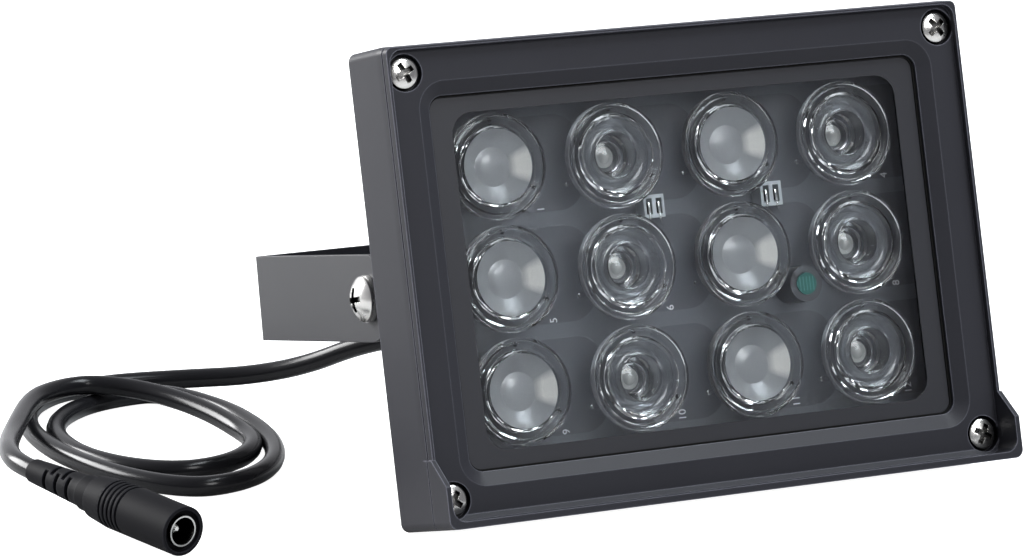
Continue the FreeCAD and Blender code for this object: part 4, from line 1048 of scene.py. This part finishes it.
class ILLUMINATOR_OT_lead(bpy.types.Operator):
    """Run the lead out of the gland, through its loose turns and into the boot of the socket"""

    bl_idname = "illuminator.lead"
    bl_label = "Lead and socket"

    def execute(self, context):
        lead = context.scene.illuminator_lead
        points = [Vector(point) * MM for point in (*TAIL, *loose_turns(), *TO_BOOT)]
        piece = strand("lead", points, lead.diameter, along=8, around=6)
        painted(piece, coated("lead_jacket", lead.jacket, 0.22, grain=1800.0, depth=0.05,
                              drift=0.05, shine=0.17))
        settle(piece, nodes=("cord_tail", "cord_coil", "cord_lead"))
        # Painted highlight on the moulding's edges, painted shade in its recesses and inside the socket's
        # contact
        moulding = coated("lead_moulding", lead.moulding, 0.6, grain=1600.0, shine=0.05, edge_highlight=3.0)
        contact = bright_metal("contact_nickel", CONTACT_NICKEL, 0.2, recess=6.0)
        on_lead = [dress("plug_boot", moulding, BOOT_EDGE), dress("plug_shell", moulding, BARREL_EDGE),
                   dress("plug_contact", contact),
                   dress("plug_pin", bright_metal("pin_nickel", PIN_NICKEL, 0.2))]
        return {"FINISHED"}


class ILLUMINATOR_PT_panel(bpy.types.Panel):
    """Every size, colour and piece of the illuminator"""

    bl_label = "Illuminator"
    bl_idname = "ILLUMINATOR_PT_panel"
    bl_space_type = "VIEW_3D"
    bl_region_type = "UI"
    bl_category = "Illuminator"

    def draw(self, context):
        for label, settings, steps in STEPS:
            box = self.layout.box()
            box.label(text=label)
            group = getattr(context.scene, settings)
            for name in group.__annotations__:
                box.prop(group, name)
            for step in steps:
                box.operator(step.bl_idname)


STEPS = (
    ("Studio", "illuminator_studio", (ILLUMINATOR_OT_stage,)),
    ("Coats", "illuminator_coats", (ILLUMINATOR_OT_castings, ILLUMINATOR_OT_bracket, ILLUMINATOR_OT_screws,
                                    ILLUMINATOR_OT_gland)),
    ("Optics", "illuminator_optics", (ILLUMINATOR_OT_window, ILLUMINATOR_OT_lenses,
                                      ILLUMINATOR_OT_emitters)),
    ("Board", "illuminator_board", (ILLUMINATOR_OT_board, ILLUMINATOR_OT_sensor)),
    ("Lead", "illuminator_lead", (ILLUMINATOR_OT_lead,)),
)
GROUPS = {"illuminator_studio": StudioSettings, "illuminator_coats": CoatSettings,
          "illuminator_optics": OpticsSettings, "illuminator_board": BoardSettings,
          "illuminator_lead": LeadSettings}


def register():
    for label, group in GROUPS.items():
        bpy.utils.register_class(group)
        setattr(bpy.types.Scene, label, PointerProperty(type=group))
    for label, settings, steps in STEPS:
        for step in steps:
            bpy.utils.register_class(step)
    bpy.utils.register_class(ILLUMINATOR_PT_panel)


def unregister():
    bpy.utils.unregister_class(ILLUMINATOR_PT_panel)
    for label, settings, steps in reversed(STEPS):
        for step in reversed(steps):
            bpy.utils.unregister_class(step)
    for label, group in GROUPS.items():
        delattr(bpy.types.Scene, label)
        bpy.utils.unregister_class(group)


def main():
    """Make everything in order."""
    register()
    bpy.ops.illuminator.stage()
    bpy.ops.illuminator.lead()
    bpy.ops.illuminator.castings()
    bpy.ops.illuminator.window()
    bpy.ops.illuminator.board()
    bpy.ops.illuminator.lenses()
    bpy.ops.illuminator.emitters()
    bpy.ops.illuminator.sensor()
    bpy.ops.illuminator.screws()
    bpy.ops.illuminator.bracket()
    bpy.ops.illuminator.gland()


if __name__ == "__main__":
    main()
